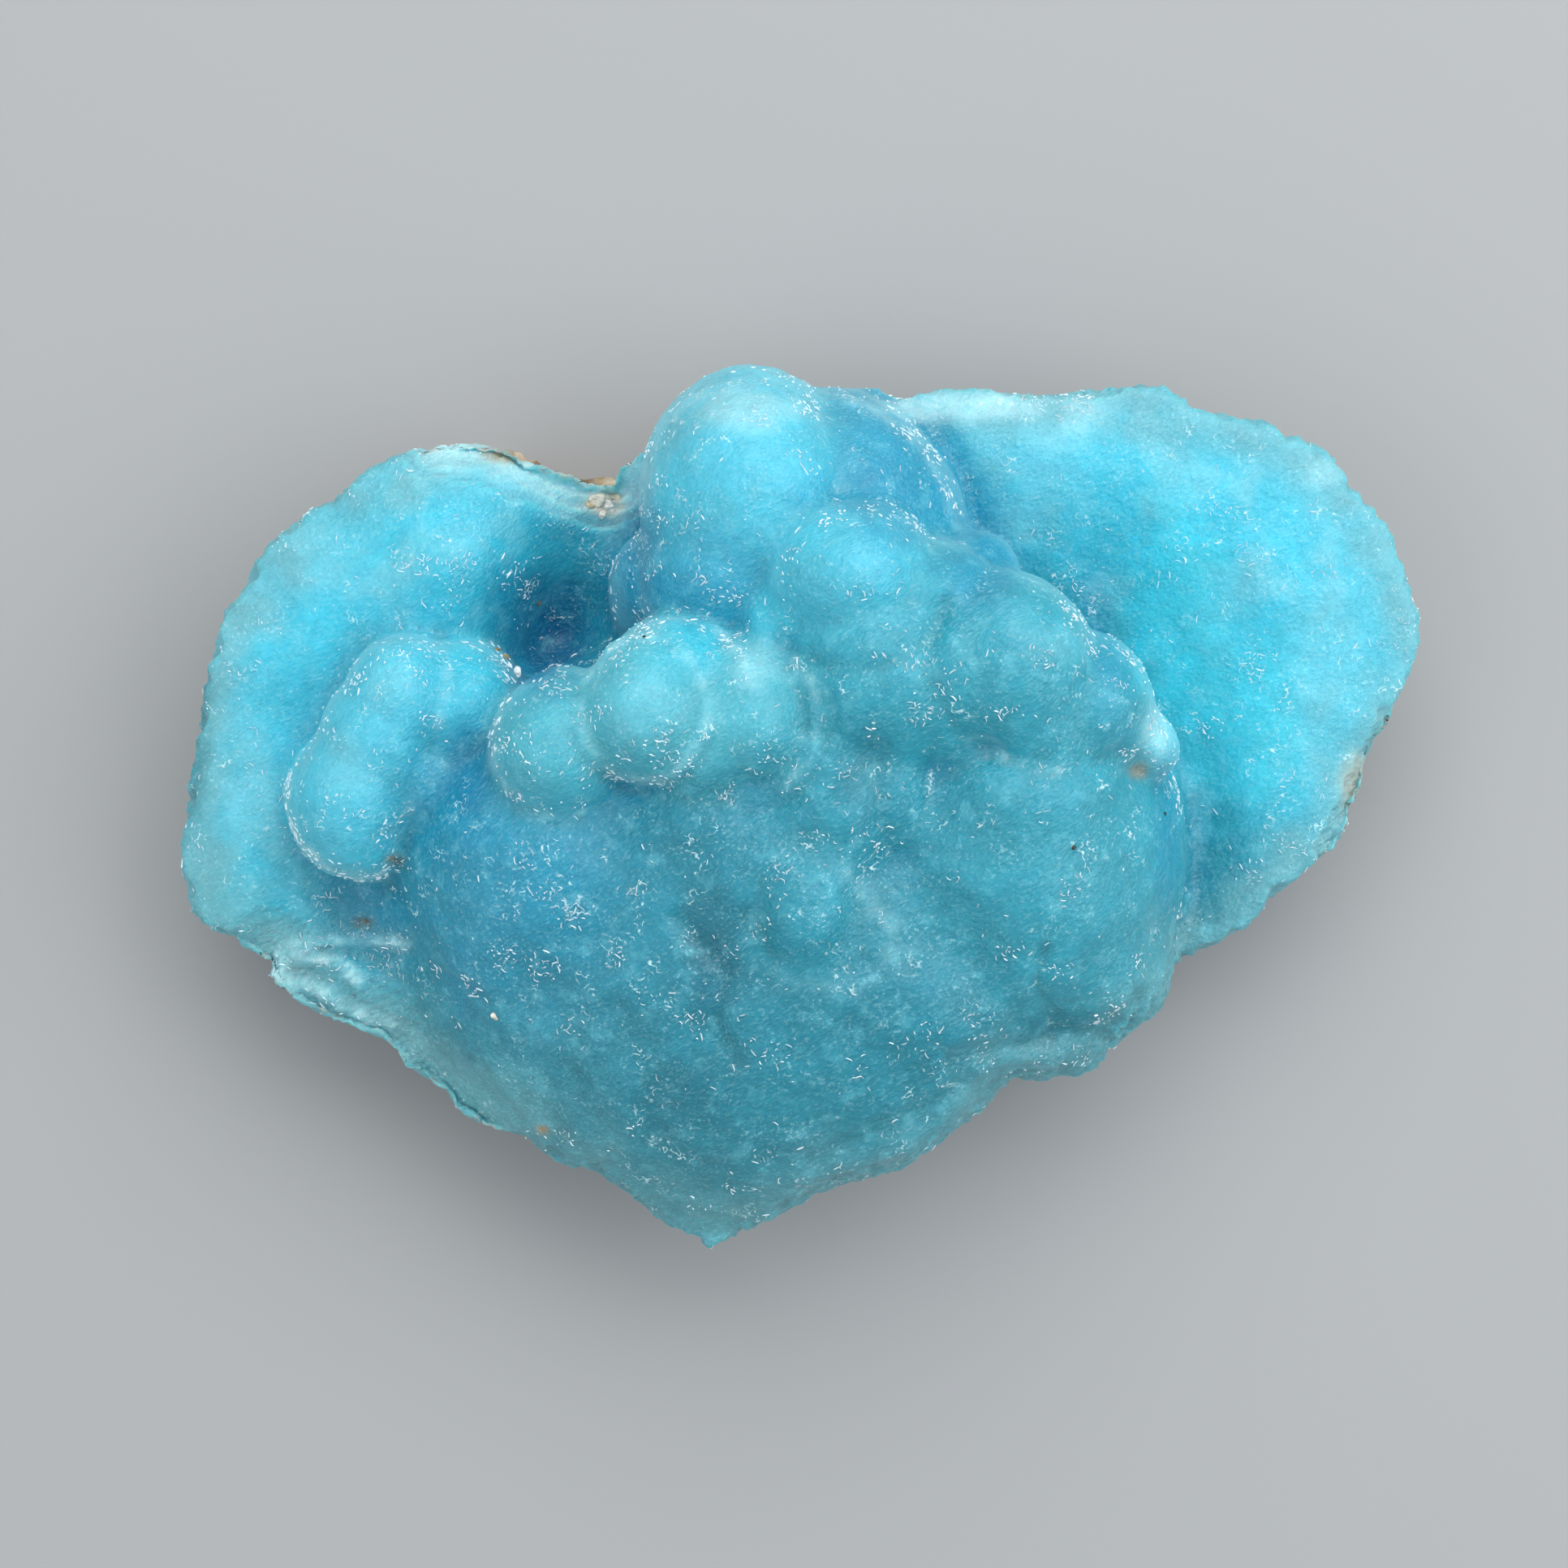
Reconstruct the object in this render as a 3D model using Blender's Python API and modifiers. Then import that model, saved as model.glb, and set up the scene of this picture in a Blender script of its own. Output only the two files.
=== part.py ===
"""Blue botryoidal hemimorphite on a remnant of its matrix.

Metres, +Z up. The specimen lies on the flat cut of its matrix, with its lobed front facing up.
+Y is the specimen's top edge and +X its right, as seen from the front.
The origin is on the flat cut, under the middle of the specimen.
"""

from dataclasses import dataclass
from math import exp, hypot, radians, sqrt

import bmesh
import bpy
from mathutils import Matrix, Vector, noise

MM = 0.001

# Driving dimensions, in millimetres.
HALF_WIDTH = 35.7
HALF_HEIGHT = 25.2
MATRIX_THICKNESS = 3.0
JOINT_GAP = 0.3
FRONT_LEVEL = 8.2
FRONT_RIM_RISE = 2.8
BACK_RIM_RISE = 4.9
BACK_ROUGHNESS = 0.45
BACK_ROUGH_SIZE = 5.0
THINNEST_CRUST = 1.2
EDGE_LEVEL = 9.7
SHOULDER_WIDTH = 9.0
SHOULDER_HEIGHT = 11.7

# The share of the way to the rim where the sheet starts to rise, and where it ends.
RISE_START = 0.5
FRONT_RISE_END = 1.0
BACK_RISE_END = 1.05

# How finely the solids are made.
CRUST_VOXEL = 0.7
MATRIX_VOXEL = 0.9
CRUST_TRIANGLES = 8800
MATRIX_TRIANGLES = 1500
SHEET_STEP = 1.4
CUTTER_STEP = 2.7
SHEET_MARGIN = 3.0
LOBE_SUBDIVISIONS = 4
FRONT_SMOOTHING = 8
LOBE_SMOOTHING = 5
ROCK_SMOOTHING = 6
WELD_DISTANCE = 1e-6
CRUST_SPAN = (-4.0, 32.0)
ROCK_SPAN = (-3.0, 11.0)
CUTTER_DEPTH = 30.0

# The two materials' colours, linear.
BLUE = (0.09, 0.50, 0.66)
TAN = (0.46, 0.35, 0.22)

# The broken rim of the crust, clockwise from the notch beside the top lobe.
CRUST_RIM = [
    (-10.3, 19.6), (-8.8, 20.8), (-3.1, 22.4), (2.7, 24.0), (4.3, 24.2), (5.9, 23.6), (9.7, 24.0),
    (14.9, 23.8), (19.7, 24.3), (21.4, 24.2), (22.8, 22.7), (26.1, 22.2), (30.1, 20.6), (31.5, 19.0),
    (34.0, 15.8), (35.7, 10.8), (35.5, 9.2), (33.9, 4.9), (32.6, 2.5), (32.4, 0.9), (31.1, -2.0),
    (29.2, -3.6), (27.3, -5.1), (25.6, -7.2), (22.1, -8.9), (20.9, -11.5), (18.5, -13.2),
    (16.4, -15.4), (11.9, -15.5), (9.7, -17.9), (6.2, -20.7), (1.0, -21.9), (-1.2, -23.6),
    (-3.8, -24.6), (-5.1, -25.4), (-7.8, -23.9), (-11.6, -20.8), (-14.0, -20.5), (-15.2, -19.3),
    (-18.7, -18.3), (-20.9, -16.0), (-22.8, -14.9), (-23.5, -13.6), (-27.8, -11.9), (-30.4, -10.0),
    (-30.6, -8.8), (-34.6, -6.5), (-35.6, -4.1), (-35.6, -2.0), (-34.8, 3.0), (-34.3, 6.8),
    (-33.0, 11.3), (-30.6, 15.1), (-28.5, 16.9), (-26.3, 18.1), (-25.6, 19.1), (-22.1, 20.6),
    (-18.0, 20.9), (-15.2, 19.6), (-12.3, 18.5), (-10.8, 18.4),
]

# The edge of the matrix that is left on the back. It shows beyond the crust only at the notch.
MATRIX_RIM = [
    (-20.6, 19.8), (-17.2, 21.0), (-14.6, 19.4), (-11.4, 19.0), (-8.6, 18.2), (-4.0, 19.6),
    (1.5, 17.0), (7.5, 17.6), (9.6, 14.0), (14.8, 12.2), (13.2, 7.0), (17.4, 1.0), (14.0, -4.0),
    (13.6, -9.6), (8.0, -11.0), (5.0, -15.2), (-1.0, -14.6), (-6.2, -17.4), (-11.4, -13.2),
    (-18.0, -12.4), (-19.4, -7.0), (-25.2, -3.0), (-23.4, 2.2), (-27.0, 8.4), (-23.0, 13.0),
]


@dataclass(frozen=True)
class Lobe:
    """One rounded growth of the crust: an ellipsoid, with its sizes in millimetres."""

    centre: tuple
    radii: tuple
    turn: float = 0.0


@dataclass(frozen=True)
class Swell:
    """A rise of the crust's sheet, or a hollow where the height is negative, in millimetres."""

    centre: tuple
    spread: tuple
    height: float


# The front mass under the row of lobes. The broken rim cuts these off.
FRONT_MASS = {
    "dome": Lobe((-1.2, -7.1, 4.0), (23.9, 19.3, 15.8)),
    "shoulder": Lobe((-1.2, -0.8, 8.0), (18.3, 7.8, 11.2)),
    "left_bulge": Lobe((-14.1, -3.7, 7.0), (9.8, 11.4, 12.0), 10.0),
    "centre_bulge": Lobe((-2.4, -3.2, 7.0), (7.9, 12.9, 13.6), -6.0),
    "right_bulge": Lobe((11.9, -2.7, 7.0), (10.7, 12.2, 13.8)),
    "row_slope": Lobe((-4.5, 0.0, 12.0), (6.5, 7.0, 8.0)),
    "centre_slope": Lobe((2.5, 1.5, 13.0), (6.5, 7.5, 8.8)),
    "right_slope": Lobe((12.4, 1.0, 12.4), (7.0, 6.8, 9.2)),
    "dome_knob": Lobe((0.0, -5.3, 14.0), (4.4, 5.5, 7.8), 8.0),
    "dome_middle": Lobe((6.3, -10.2, 10.0), (8.5, 7.8, 9.4)),
    "dome_right_bump": Lobe((16.6, -9.1, 8.0), (5.1, 5.1, 8.8)),
    "dome_ledge": Lobe((13.7, -12.6, 5.0), (7.2, 4.3, 7.5), -12.0),
    "dome_low": Lobe((-4.1, -15.2, 6.0), (8.9, 5.7, 12.2)),
    "dome_foot": Lobe((-5.1, -19.8, 3.0), (9.2, 5.8, 10.0)),
    "dome_left_foot": Lobe((-16.7, -14.4, 3.0), (7.3, 5.8, 8.0), -35.0),
    "left_fold": Lobe((-25.0, -10.6, 8.2), (5.2, 2.0, 2.8), -24.0),
    "left_apron": Lobe((-22.6, -5.5, 6.0), (5.0, 5.6, 5.0)),
}

# The rounded lobes that stand free of the rim.
LOBES = {
    "left_fill": Lobe((-21.0, 1.8, 7.5), (4.8, 5.6, 8.4), -15.0),
    "left_bean": Lobe((-25.2, 0.9, 12.0), (3.8, 5.0, 5.5), -14.0),
    "left_middle": Lobe((-23.9, 3.6, 12.4), (3.7, 4.3, 5.4), -14.0),
    "left_upper": Lobe((-22.6, 6.0, 12.5), (3.5, 4.0, 5.2), -10.0),
    "left_lower": Lobe((-26.8, 0.6, 11.4), (2.7, 3.6, 4.6)),
    "left_end": Lobe((-24.7, -2.0, 11.2), (2.5, 2.3, 4.4)),
    "left_back": Lobe((-19.4, 5.4, 11.0), (4.0, 4.4, 5.6)),
    "row_1": Lobe((-13.4, 3.4, 15.6), (4.0, 4.7, 5.8), -14.0),
    "row_2": Lobe((-8.5, 5.5, 17.4), (3.9, 4.3, 5.4), -10.0),
    "row_2_back": Lobe((-6.7, 7.1, 16.0), (4.6, 3.6, 5.2)),
    "row_join": Lobe((-5.4, 4.3, 16.2), (4.6, 4.6, 5.9)),
    "row_3": Lobe((-2.6, 5.2, 16.2), (4.3, 4.8, 5.9)),
    "centre": Lobe((2.9, 12.8, 17.0), (4.9, 4.4, 6.6)),
    "centre_left": Lobe((-0.9, 10.3, 15.8), (2.6, 2.6, 4.6)),
    "centre_low": Lobe((4.5, 7.5, 15.8), (6.5, 6.7, 7.6)),
    "centre_right": Lobe((7.3, 11.1, 15.4), (4.4, 4.1, 6.8)),
    "right_join": Lobe((8.3, 7.4, 15.6), (5.2, 6.2, 7.6)),
    "right": Lobe((11.6, 7.6, 16.6), (5.2, 5.8, 7.0), 10.0),
    "right_low": Lobe((12.6, 4.6, 15.0), (5.0, 4.6, 7.0)),
    "right_end": Lobe((15.9, 5.8, 14.8), (4.2, 4.4, 6.3), 30.0),
    "right_tip": Lobe((19.6, 3.7, 13.6), (1.7, 2.3, 3.8), 25.0),
    "right_back": Lobe((9.6, 12.7, 12.6), (3.2, 3.1, 5.0)),
    "top": Lobe((-2.7, 17.5, 11.0), (6.5, 7.8, 9.6)),
    "top_low": Lobe((-4.0, 13.1, 10.6), (5.7, 5.2, 8.6)),
    "top_right": Lobe((3.3, 16.4, 9.2), (6.3, 8.2, 8.8), 25.0),
    "top_left_back": Lobe((-7.2, 12.6, 8.6), (3.9, 4.1, 6.4)),
}

# The rises and hollows of the sheet between and around the lobes.
SWELLS = [
    Swell((-14.4, 10.2), (2.0, 3.0), -4.6),
    Swell((-19.2, 13.4), (3.8, 4.4), 4.2),
    Swell((-28.0, 9.0), (4.0, 6.0), 1.4),
    Swell((-30.5, -4.0), (3.4, 4.5), 1.2),
    Swell((-12.0, 15.4), (3.0, 2.2), -1.2),
    Swell((14.6, 18.6), (4.4, 4.0), 1.5),
    Swell((18.6, 11.0), (2.2, 6.5), -1.0),
    Swell((21.4, -2.0), (2.0, 5.0), -1.2),
    Swell((26.0, 12.0), (4.0, 5.0), 0.9),
    Swell((27.5, 1.0), (3.0, 3.5), 0.7),
]

# The two coarse textures that keep the lobes from being perfect ellipsoids.
LUMP_SIZE = 5.0
LUMP_HEIGHT = 0.6
ROCK_LUMP_SIZE = 3.0
ROCK_LUMP_HEIGHT = 2.2


def smoothstep(low, high, value):
    """0 below low, 1 above high, and a smooth rise between them."""
    share = min(1.0, max(0.0, (value - low) / (high - low)))
    return share * share * (3.0 - 2.0 * share)


def rim_share(x, y):
    """How far out a point lies, from 0 at the middle to 1 near the rim."""
    return hypot(x / HALF_WIDTH, y / HALF_HEIGHT)


def rim_depth(x, y):
    """How far inside the broken rim a point lies, in millimetres; 0 outside it."""
    inside = False
    nearest = HALF_WIDTH
    for (x0, y0), (x1, y1) in zip(CRUST_RIM, CRUST_RIM[1:] + CRUST_RIM[:1]):
        if (y0 > y) != (y1 > y) and x < x0 + (y - y0) / (y1 - y0) * (x1 - x0):
            inside = not inside
        span = (x1 - x0) ** 2 + (y1 - y0) ** 2
        share = min(1.0, max(0.0, ((x - x0) * (x1 - x0) + (y - y0) * (y1 - y0)) / span))
        nearest = min(nearest, hypot(x - x0 - share * (x1 - x0), y - y0 - share * (y1 - y0)))
    return nearest if inside else 0.0


def cap_height(x, y):
    """The highest that the sheet and its front mass reach, so that they round off at the rim."""
    share = 1.0 - min(1.0, rim_depth(x, y) / SHOULDER_WIDTH)
    return EDGE_LEVEL + SHOULDER_HEIGHT * sqrt(1.0 - share * share)


def front_height(x, y):
    """The front face of the crust's sheet, in millimetres."""
    rise = FRONT_RIM_RISE * smoothstep(RISE_START, FRONT_RISE_END, rim_share(x, y))
    swells = 0.0
    for swell in SWELLS:
        across = (x - swell.centre[0]) / swell.spread[0]
        along = (y - swell.centre[1]) / swell.spread[1]
        swells += swell.height * exp(-0.5 * (across * across + along * along))
    return max(FRONT_LEVEL + rise + swells, back_height(x, y) + THINNEST_CRUST)


def back_height(x, y):
    """The back of the crust, where it grew on the rock, in millimetres."""
    rise = BACK_RIM_RISE * smoothstep(RISE_START, BACK_RISE_END, rim_share(x, y))
    rough = BACK_ROUGHNESS * noise.noise(Vector((x, y, 0.0)) / BACK_ROUGH_SIZE)
    return MATRIX_THICKNESS + JOINT_GAP + rise + rough


def flat(level):
    """A height function with the same level everywhere."""
    return lambda x, y: level


def link(name, mesh, collection, is_helper=False):
    """Puts a mesh in a new object of a collection; a helper isn't rendered."""
    obj = bpy.data.objects.new(name, mesh)
    collection.objects.link(obj)
    if is_helper:
        obj.hide_render = True
        obj.display_type = "WIRE"
    return obj


def sheet(name, bottom, top, step, margin, collection):
    """A closed slab under the whole specimen, between two height functions."""
    width = 2 * (HALF_WIDTH + margin)
    depth = 2 * (HALF_HEIGHT + margin)
    bm = bmesh.new()
    bmesh.ops.create_grid(
        bm,
        x_segments=round(width / step),
        y_segments=round(depth / step),
        size=0.5,
        matrix=Matrix.Diagonal((width * MM, depth * MM, 1.0, 1.0)),
    )
    lower = list(bm.verts)
    made = bmesh.ops.extrude_face_region(bm, geom=list(bm.faces), use_keep_orig=True)
    upper = [item for item in made["geom"] if isinstance(item, bmesh.types.BMVert)]
    for vert in lower:
        vert.co.z = bottom(vert.co.x / MM, vert.co.y / MM) * MM
    for vert in upper:
        vert.co.z = top(vert.co.x / MM, vert.co.y / MM) * MM
    bmesh.ops.recalc_face_normals(bm, faces=bm.faces)
    mesh = bpy.data.meshes.new(name)
    bm.to_mesh(mesh)
    bm.free()
    return link(name, mesh, collection, is_helper=True)


def prism(name, outline, span, collection):
    """An upright prism with the given outline, from the lower to the upper height of its span."""
    curve = bpy.data.curves.new(name, "CURVE")
    curve.dimensions = "2D"
    curve.fill_mode = "BOTH"
    curve.extrude = (span[1] - span[0]) / 2 * MM
    spline = curve.splines.new("POLY")
    spline.points.add(len(outline) - 1)
    for point, (x, y) in zip(spline.points, outline):
        point.co = (x * MM, y * MM, 0.0, 1.0)
    spline.use_cyclic_u = True
    drawn = link(name + "_curve", curve, collection, is_helper=True)
    drawn.location.z = (span[0] + span[1]) / 2 * MM
    bpy.context.view_layer.update()
    graph = bpy.context.evaluated_depsgraph_get()
    mesh = bpy.data.meshes.new_from_object(drawn.evaluated_get(graph))
    bm = bmesh.new()
    bm.from_mesh(mesh)
    bmesh.ops.remove_doubles(bm, verts=bm.verts, dist=WELD_DISTANCE)
    bmesh.ops.recalc_face_normals(bm, faces=bm.faces)
    bm.to_mesh(mesh)
    bm.free()
    cutter = link(name, mesh, collection, is_helper=True)
    cutter.matrix_world = drawn.matrix_world.copy()
    bpy.data.objects.remove(drawn)
    return cutter


def add_lobes(bm, lobes):
    """Adds an ellipsoid for each lobe to a bmesh."""
    for lobe in lobes.values():
        place = (
            Matrix.Translation(Vector(lobe.centre) * MM)
            @ Matrix.Rotation(radians(lobe.turn), 4, "Z")
            @ Matrix.Diagonal((*(Vector(lobe.radii) * MM), 1.0))
        )
        bmesh.ops.create_icosphere(
            bm, subdivisions=LOBE_SUBDIVISIONS, radius=1.0, matrix=place
        )


def add_voxels(obj, size):
    """Fuses everything in an object's mesh into one closed surface."""
    remesh = obj.modifiers.new("fuse", "REMESH")
    remesh.mode = "VOXEL"
    remesh.voxel_size = size * MM


def add_smoothing(obj, rounds):
    """Softens the steps that the voxels leave."""
    smooth = obj.modifiers.new("soften", "SMOOTH")
    smooth.factor = 0.5
    smooth.iterations = rounds


def add_lumps(obj, size, height):
    """Pushes the surface in and out by a cloud texture."""
    texture = bpy.data.textures.new(obj.name + "_lumps", "CLOUDS")
    texture.noise_scale = size * MM
    texture.noise_depth = 1
    displace = obj.modifiers.new("lumps", "DISPLACE")
    displace.texture = texture
    displace.texture_coords = "LOCAL"
    displace.strength = height * MM
    displace.mid_level = 0.5


def add_boolean(obj, cutter, operation):
    """Cuts or limits an object by a helper."""
    cut = obj.modifiers.new(cutter.name, "BOOLEAN")
    cut.object = cutter
    cut.operation = operation
    cut.solver = "EXACT"


def evaluated_mesh(obj):
    """The mesh of an object with its modifiers applied."""
    bpy.context.view_layer.update()
    graph = bpy.context.evaluated_depsgraph_get()
    return bpy.data.meshes.new_from_object(obj.evaluated_get(graph))


def add_decimate(obj, triangles):
    """Thins the mesh to about the given number of triangles."""
    mesh = evaluated_mesh(obj)
    count = sum(len(polygon.vertices) - 2 for polygon in mesh.polygons)
    bpy.data.meshes.remove(mesh)
    thin = obj.modifiers.new("thin", "DECIMATE")
    thin.ratio = min(1.0, triangles / count)
    thin.use_collapse_triangulate = True


def stone_material(name, colour, roughness):
    """A Principled material of one plain colour."""
    material = bpy.data.materials.new(name)
    material.use_nodes = True
    shader = material.node_tree.nodes["Principled BSDF"]
    shader.inputs["Base Color"].default_value = (*colour, 1.0)
    shader.inputs["Roughness"].default_value = roughness
    shader.inputs["Metallic"].default_value = 0.0
    return material


def crust_body(helpers):
    """The crust's sheet and its front mass, cut off along the broken rim, as a mesh."""
    body = sheet("sheet", flat(0.0), front_height, SHEET_STEP, SHEET_MARGIN, helpers)
    bm = bmesh.new()
    bm.from_mesh(body.data)
    add_lobes(bm, FRONT_MASS)
    bm.to_mesh(body.data)
    bm.free()
    add_voxels(body, CRUST_VOXEL)
    add_smoothing(body, FRONT_SMOOTHING)
    cap = sheet("cap", flat(-CUTTER_DEPTH), cap_height, SHEET_STEP, SHEET_MARGIN * 2, helpers)
    add_boolean(body, cap, "INTERSECT")
    add_boolean(body, prism("crust_rim", CRUST_RIM, CRUST_SPAN, helpers), "INTERSECT")
    return evaluated_mesh(body)


def make_hemimorphite(parts, helpers):
    """The blue crust: one piece, with all its lobes grown together."""
    mesh = crust_body(helpers)
    bm = bmesh.new()
    bm.from_mesh(mesh)
    add_lobes(bm, LOBES)
    bm.to_mesh(mesh)
    bm.free()
    crust = link("hemimorphite", mesh, parts)
    add_voxels(crust, CRUST_VOXEL)
    add_smoothing(crust, LOBE_SMOOTHING)
    add_lumps(crust, LUMP_SIZE, LUMP_HEIGHT)
    add_decimate(crust, CRUST_TRIANGLES)
    under = sheet("under", flat(-CUTTER_DEPTH), back_height, CUTTER_STEP, SHEET_MARGIN * 2, helpers)
    add_boolean(crust, under, "DIFFERENCE")
    crust.data.materials.clear()
    crust.data.materials.append(stone_material("blue_crust", BLUE, 0.45))
    return crust


def make_matrix(parts, helpers):
    """The rock left on the back, flat where it was cut and rough at its sides."""
    rough = prism("rock", MATRIX_RIM, ROCK_SPAN, helpers)
    mesh = rough.data.copy()
    mesh.transform(rough.matrix_world)
    rock = link("matrix", mesh, parts)
    add_voxels(rock, MATRIX_VOXEL)
    add_smoothing(rock, ROCK_SMOOTHING)
    add_lumps(rock, ROCK_LUMP_SIZE, ROCK_LUMP_HEIGHT)
    add_decimate(rock, MATRIX_TRIANGLES)

    def under_crust(x, y):
        """The crust's back, less the gap between the two pieces."""
        return back_height(x, y) - JOINT_GAP

    layer = sheet("layer", flat(0.0), under_crust, CUTTER_STEP, SHEET_MARGIN * 2, helpers)
    add_boolean(rock, layer, "INTERSECT")
    rock.data.materials.clear()
    rock.data.materials.append(stone_material("tan_rock", TAN, 0.9))
    return rock


def main():
    """Clears the scene and builds the two pieces."""
    for obj in list(bpy.data.objects):
        bpy.data.objects.remove(obj)
    parts = bpy.data.collections.new("hemimorphite_specimen")
    helpers = bpy.data.collections.new("cutters")
    for collection in (parts, helpers):
        bpy.context.scene.collection.children.link(collection)
    make_hemimorphite(parts, helpers)
    make_matrix(parts, helpers)


main()
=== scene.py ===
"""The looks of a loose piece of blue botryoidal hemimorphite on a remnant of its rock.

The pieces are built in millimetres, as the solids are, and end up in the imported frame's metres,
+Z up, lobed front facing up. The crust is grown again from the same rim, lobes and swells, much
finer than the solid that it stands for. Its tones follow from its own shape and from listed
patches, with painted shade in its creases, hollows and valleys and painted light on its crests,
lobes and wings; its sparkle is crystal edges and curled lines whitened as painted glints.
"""

import logging
from collections.abc import Callable
from dataclasses import dataclass, field
from enum import Enum
from math import cos, radians, sin

import bmesh
import bpy
import numpy as np
from mathutils import Matrix, Vector, noise
from mathutils.bvhtree import BVHTree
from mathutils.kdtree import KDTree


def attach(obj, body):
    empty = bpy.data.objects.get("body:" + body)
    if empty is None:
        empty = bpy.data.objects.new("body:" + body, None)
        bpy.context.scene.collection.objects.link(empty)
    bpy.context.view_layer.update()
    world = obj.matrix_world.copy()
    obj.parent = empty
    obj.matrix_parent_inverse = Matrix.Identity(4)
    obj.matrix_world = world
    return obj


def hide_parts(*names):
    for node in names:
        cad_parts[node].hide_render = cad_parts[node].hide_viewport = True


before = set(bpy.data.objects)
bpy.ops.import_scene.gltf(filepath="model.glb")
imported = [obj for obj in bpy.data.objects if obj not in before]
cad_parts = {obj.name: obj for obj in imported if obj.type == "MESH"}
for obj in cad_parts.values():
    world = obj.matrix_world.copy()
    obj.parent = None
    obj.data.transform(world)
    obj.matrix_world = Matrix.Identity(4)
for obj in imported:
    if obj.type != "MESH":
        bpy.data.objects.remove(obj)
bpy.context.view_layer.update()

logging.basicConfig(level=logging.INFO, format="%(message)s")
LOG = logging.getLogger("specimen")

MM = 0.001
BODY = "root"
CRUST_NODE = "hemimorphite"
ROCK_NODE = "matrix"
MINERAL_IOR = 1.62

Colour = tuple[float, float, float]
Point = tuple[float, float]
Band = tuple[float, float]
Layers = tuple[tuple[float, float, float], ...]
Heights = Callable[[np.ndarray], np.ndarray]

# The outline that the crust broke off along, in millimetres, clockwise from the notch.
CRUST_RIM: list[Point] = [
    (-10.3, 19.6), (-8.8, 20.8), (-3.1, 22.4), (2.7, 24.0), (4.3, 24.2), (5.9, 23.6), (9.7, 24.0),
    (14.9, 23.8), (19.7, 24.3), (21.4, 24.2), (22.8, 22.7), (26.1, 22.2), (30.1, 20.6),
    (31.5, 19.0), (34.0, 15.8), (35.7, 10.8), (35.5, 9.2), (33.9, 4.9), (32.6, 2.5), (32.4, 0.9),
    (31.1, -2.0), (29.2, -3.6), (27.3, -5.1), (25.6, -7.2), (22.1, -8.9), (20.9, -11.5),
    (18.5, -13.2), (16.4, -15.4), (11.9, -15.5), (9.7, -17.9), (6.2, -20.7), (1.0, -21.9),
    (-1.2, -23.6), (-3.8, -24.6), (-5.1, -25.4), (-7.8, -23.9), (-11.6, -20.8), (-14.0, -20.5),
    (-15.2, -19.3), (-18.7, -18.3), (-20.9, -16.0), (-22.8, -14.9), (-23.5, -13.6), (-27.8, -11.9),
    (-30.4, -10.0), (-30.6, -8.8), (-34.6, -6.5), (-35.6, -4.1), (-35.6, -2.0), (-34.8, 3.0),
    (-34.3, 6.8), (-33.0, 11.3), (-30.6, 15.1), (-28.5, 16.9), (-26.3, 18.1), (-25.6, 19.1),
    (-22.1, 20.6), (-18.0, 20.9), (-15.2, 19.6), (-12.3, 18.5), (-10.8, 18.4),
]

# The outline of the rock that is left on the back.
ROCK_RIM: list[Point] = [
    (-20.6, 19.8), (-17.2, 21.0), (-14.6, 19.4), (-11.4, 19.0), (-8.6, 18.2), (-4.0, 19.6),
    (1.5, 17.0), (7.5, 17.6), (9.6, 14.0), (14.8, 12.2), (13.2, 7.0), (17.4, 1.0), (14.0, -4.0),
    (13.6, -9.6), (8.0, -11.0), (5.0, -15.2), (-1.0, -14.6), (-6.2, -17.4), (-11.4, -13.2),
    (-18.0, -12.4), (-19.4, -7.0), (-25.2, -3.0), (-23.4, 2.2), (-27.0, 8.4), (-23.0, 13.0),
]


class Tone(Enum):
    """The colours of the crust, linear: those it grew in, and some that are painted light and
    shade.
    """

    # Painted shade for the deepest hollows and creases.
    HOLLOW_SHADE = (0.000, 0.170, 0.340)
    # Painted shade.
    SHADE = (0.005, 0.290, 0.460)
    WING = (0.045, 0.580, 0.750)
    # A painted glow of light, for the right wing.
    GLOW = (0.060, 0.740, 0.900)
    BRIGHT = (0.080, 0.540, 0.690)
    # Real pale patches, and painted highlights on crests, lobes and wings.
    PALE = (0.180, 0.620, 0.730)
    RIM = (0.185, 0.455, 0.500)
    ROW = (0.085, 0.460, 0.550)
    # Frost of fine crystals, which also serves for painted highlights, sheen and sparkle.
    FROST_AND_HIGHLIGHT = (0.500, 0.850, 0.900)
    # Painted glints.
    SPARK = (0.700, 0.940, 0.980)
    # Painted shade for the dome's darker valleys and grooves.
    TEAL_SHADE = (0.002, 0.170, 0.240)
    TEAL = (0.006, 0.240, 0.330)
    LIGHT_TEAL = (0.025, 0.340, 0.440)
    GREEN_TEAL = (0.050, 0.260, 0.300)
    MINT = (0.130, 0.430, 0.480)
    CREAM = (0.740, 0.750, 0.640)
    TAN = (0.420, 0.300, 0.160)
    BROWN = (0.120, 0.110, 0.070)


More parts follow.
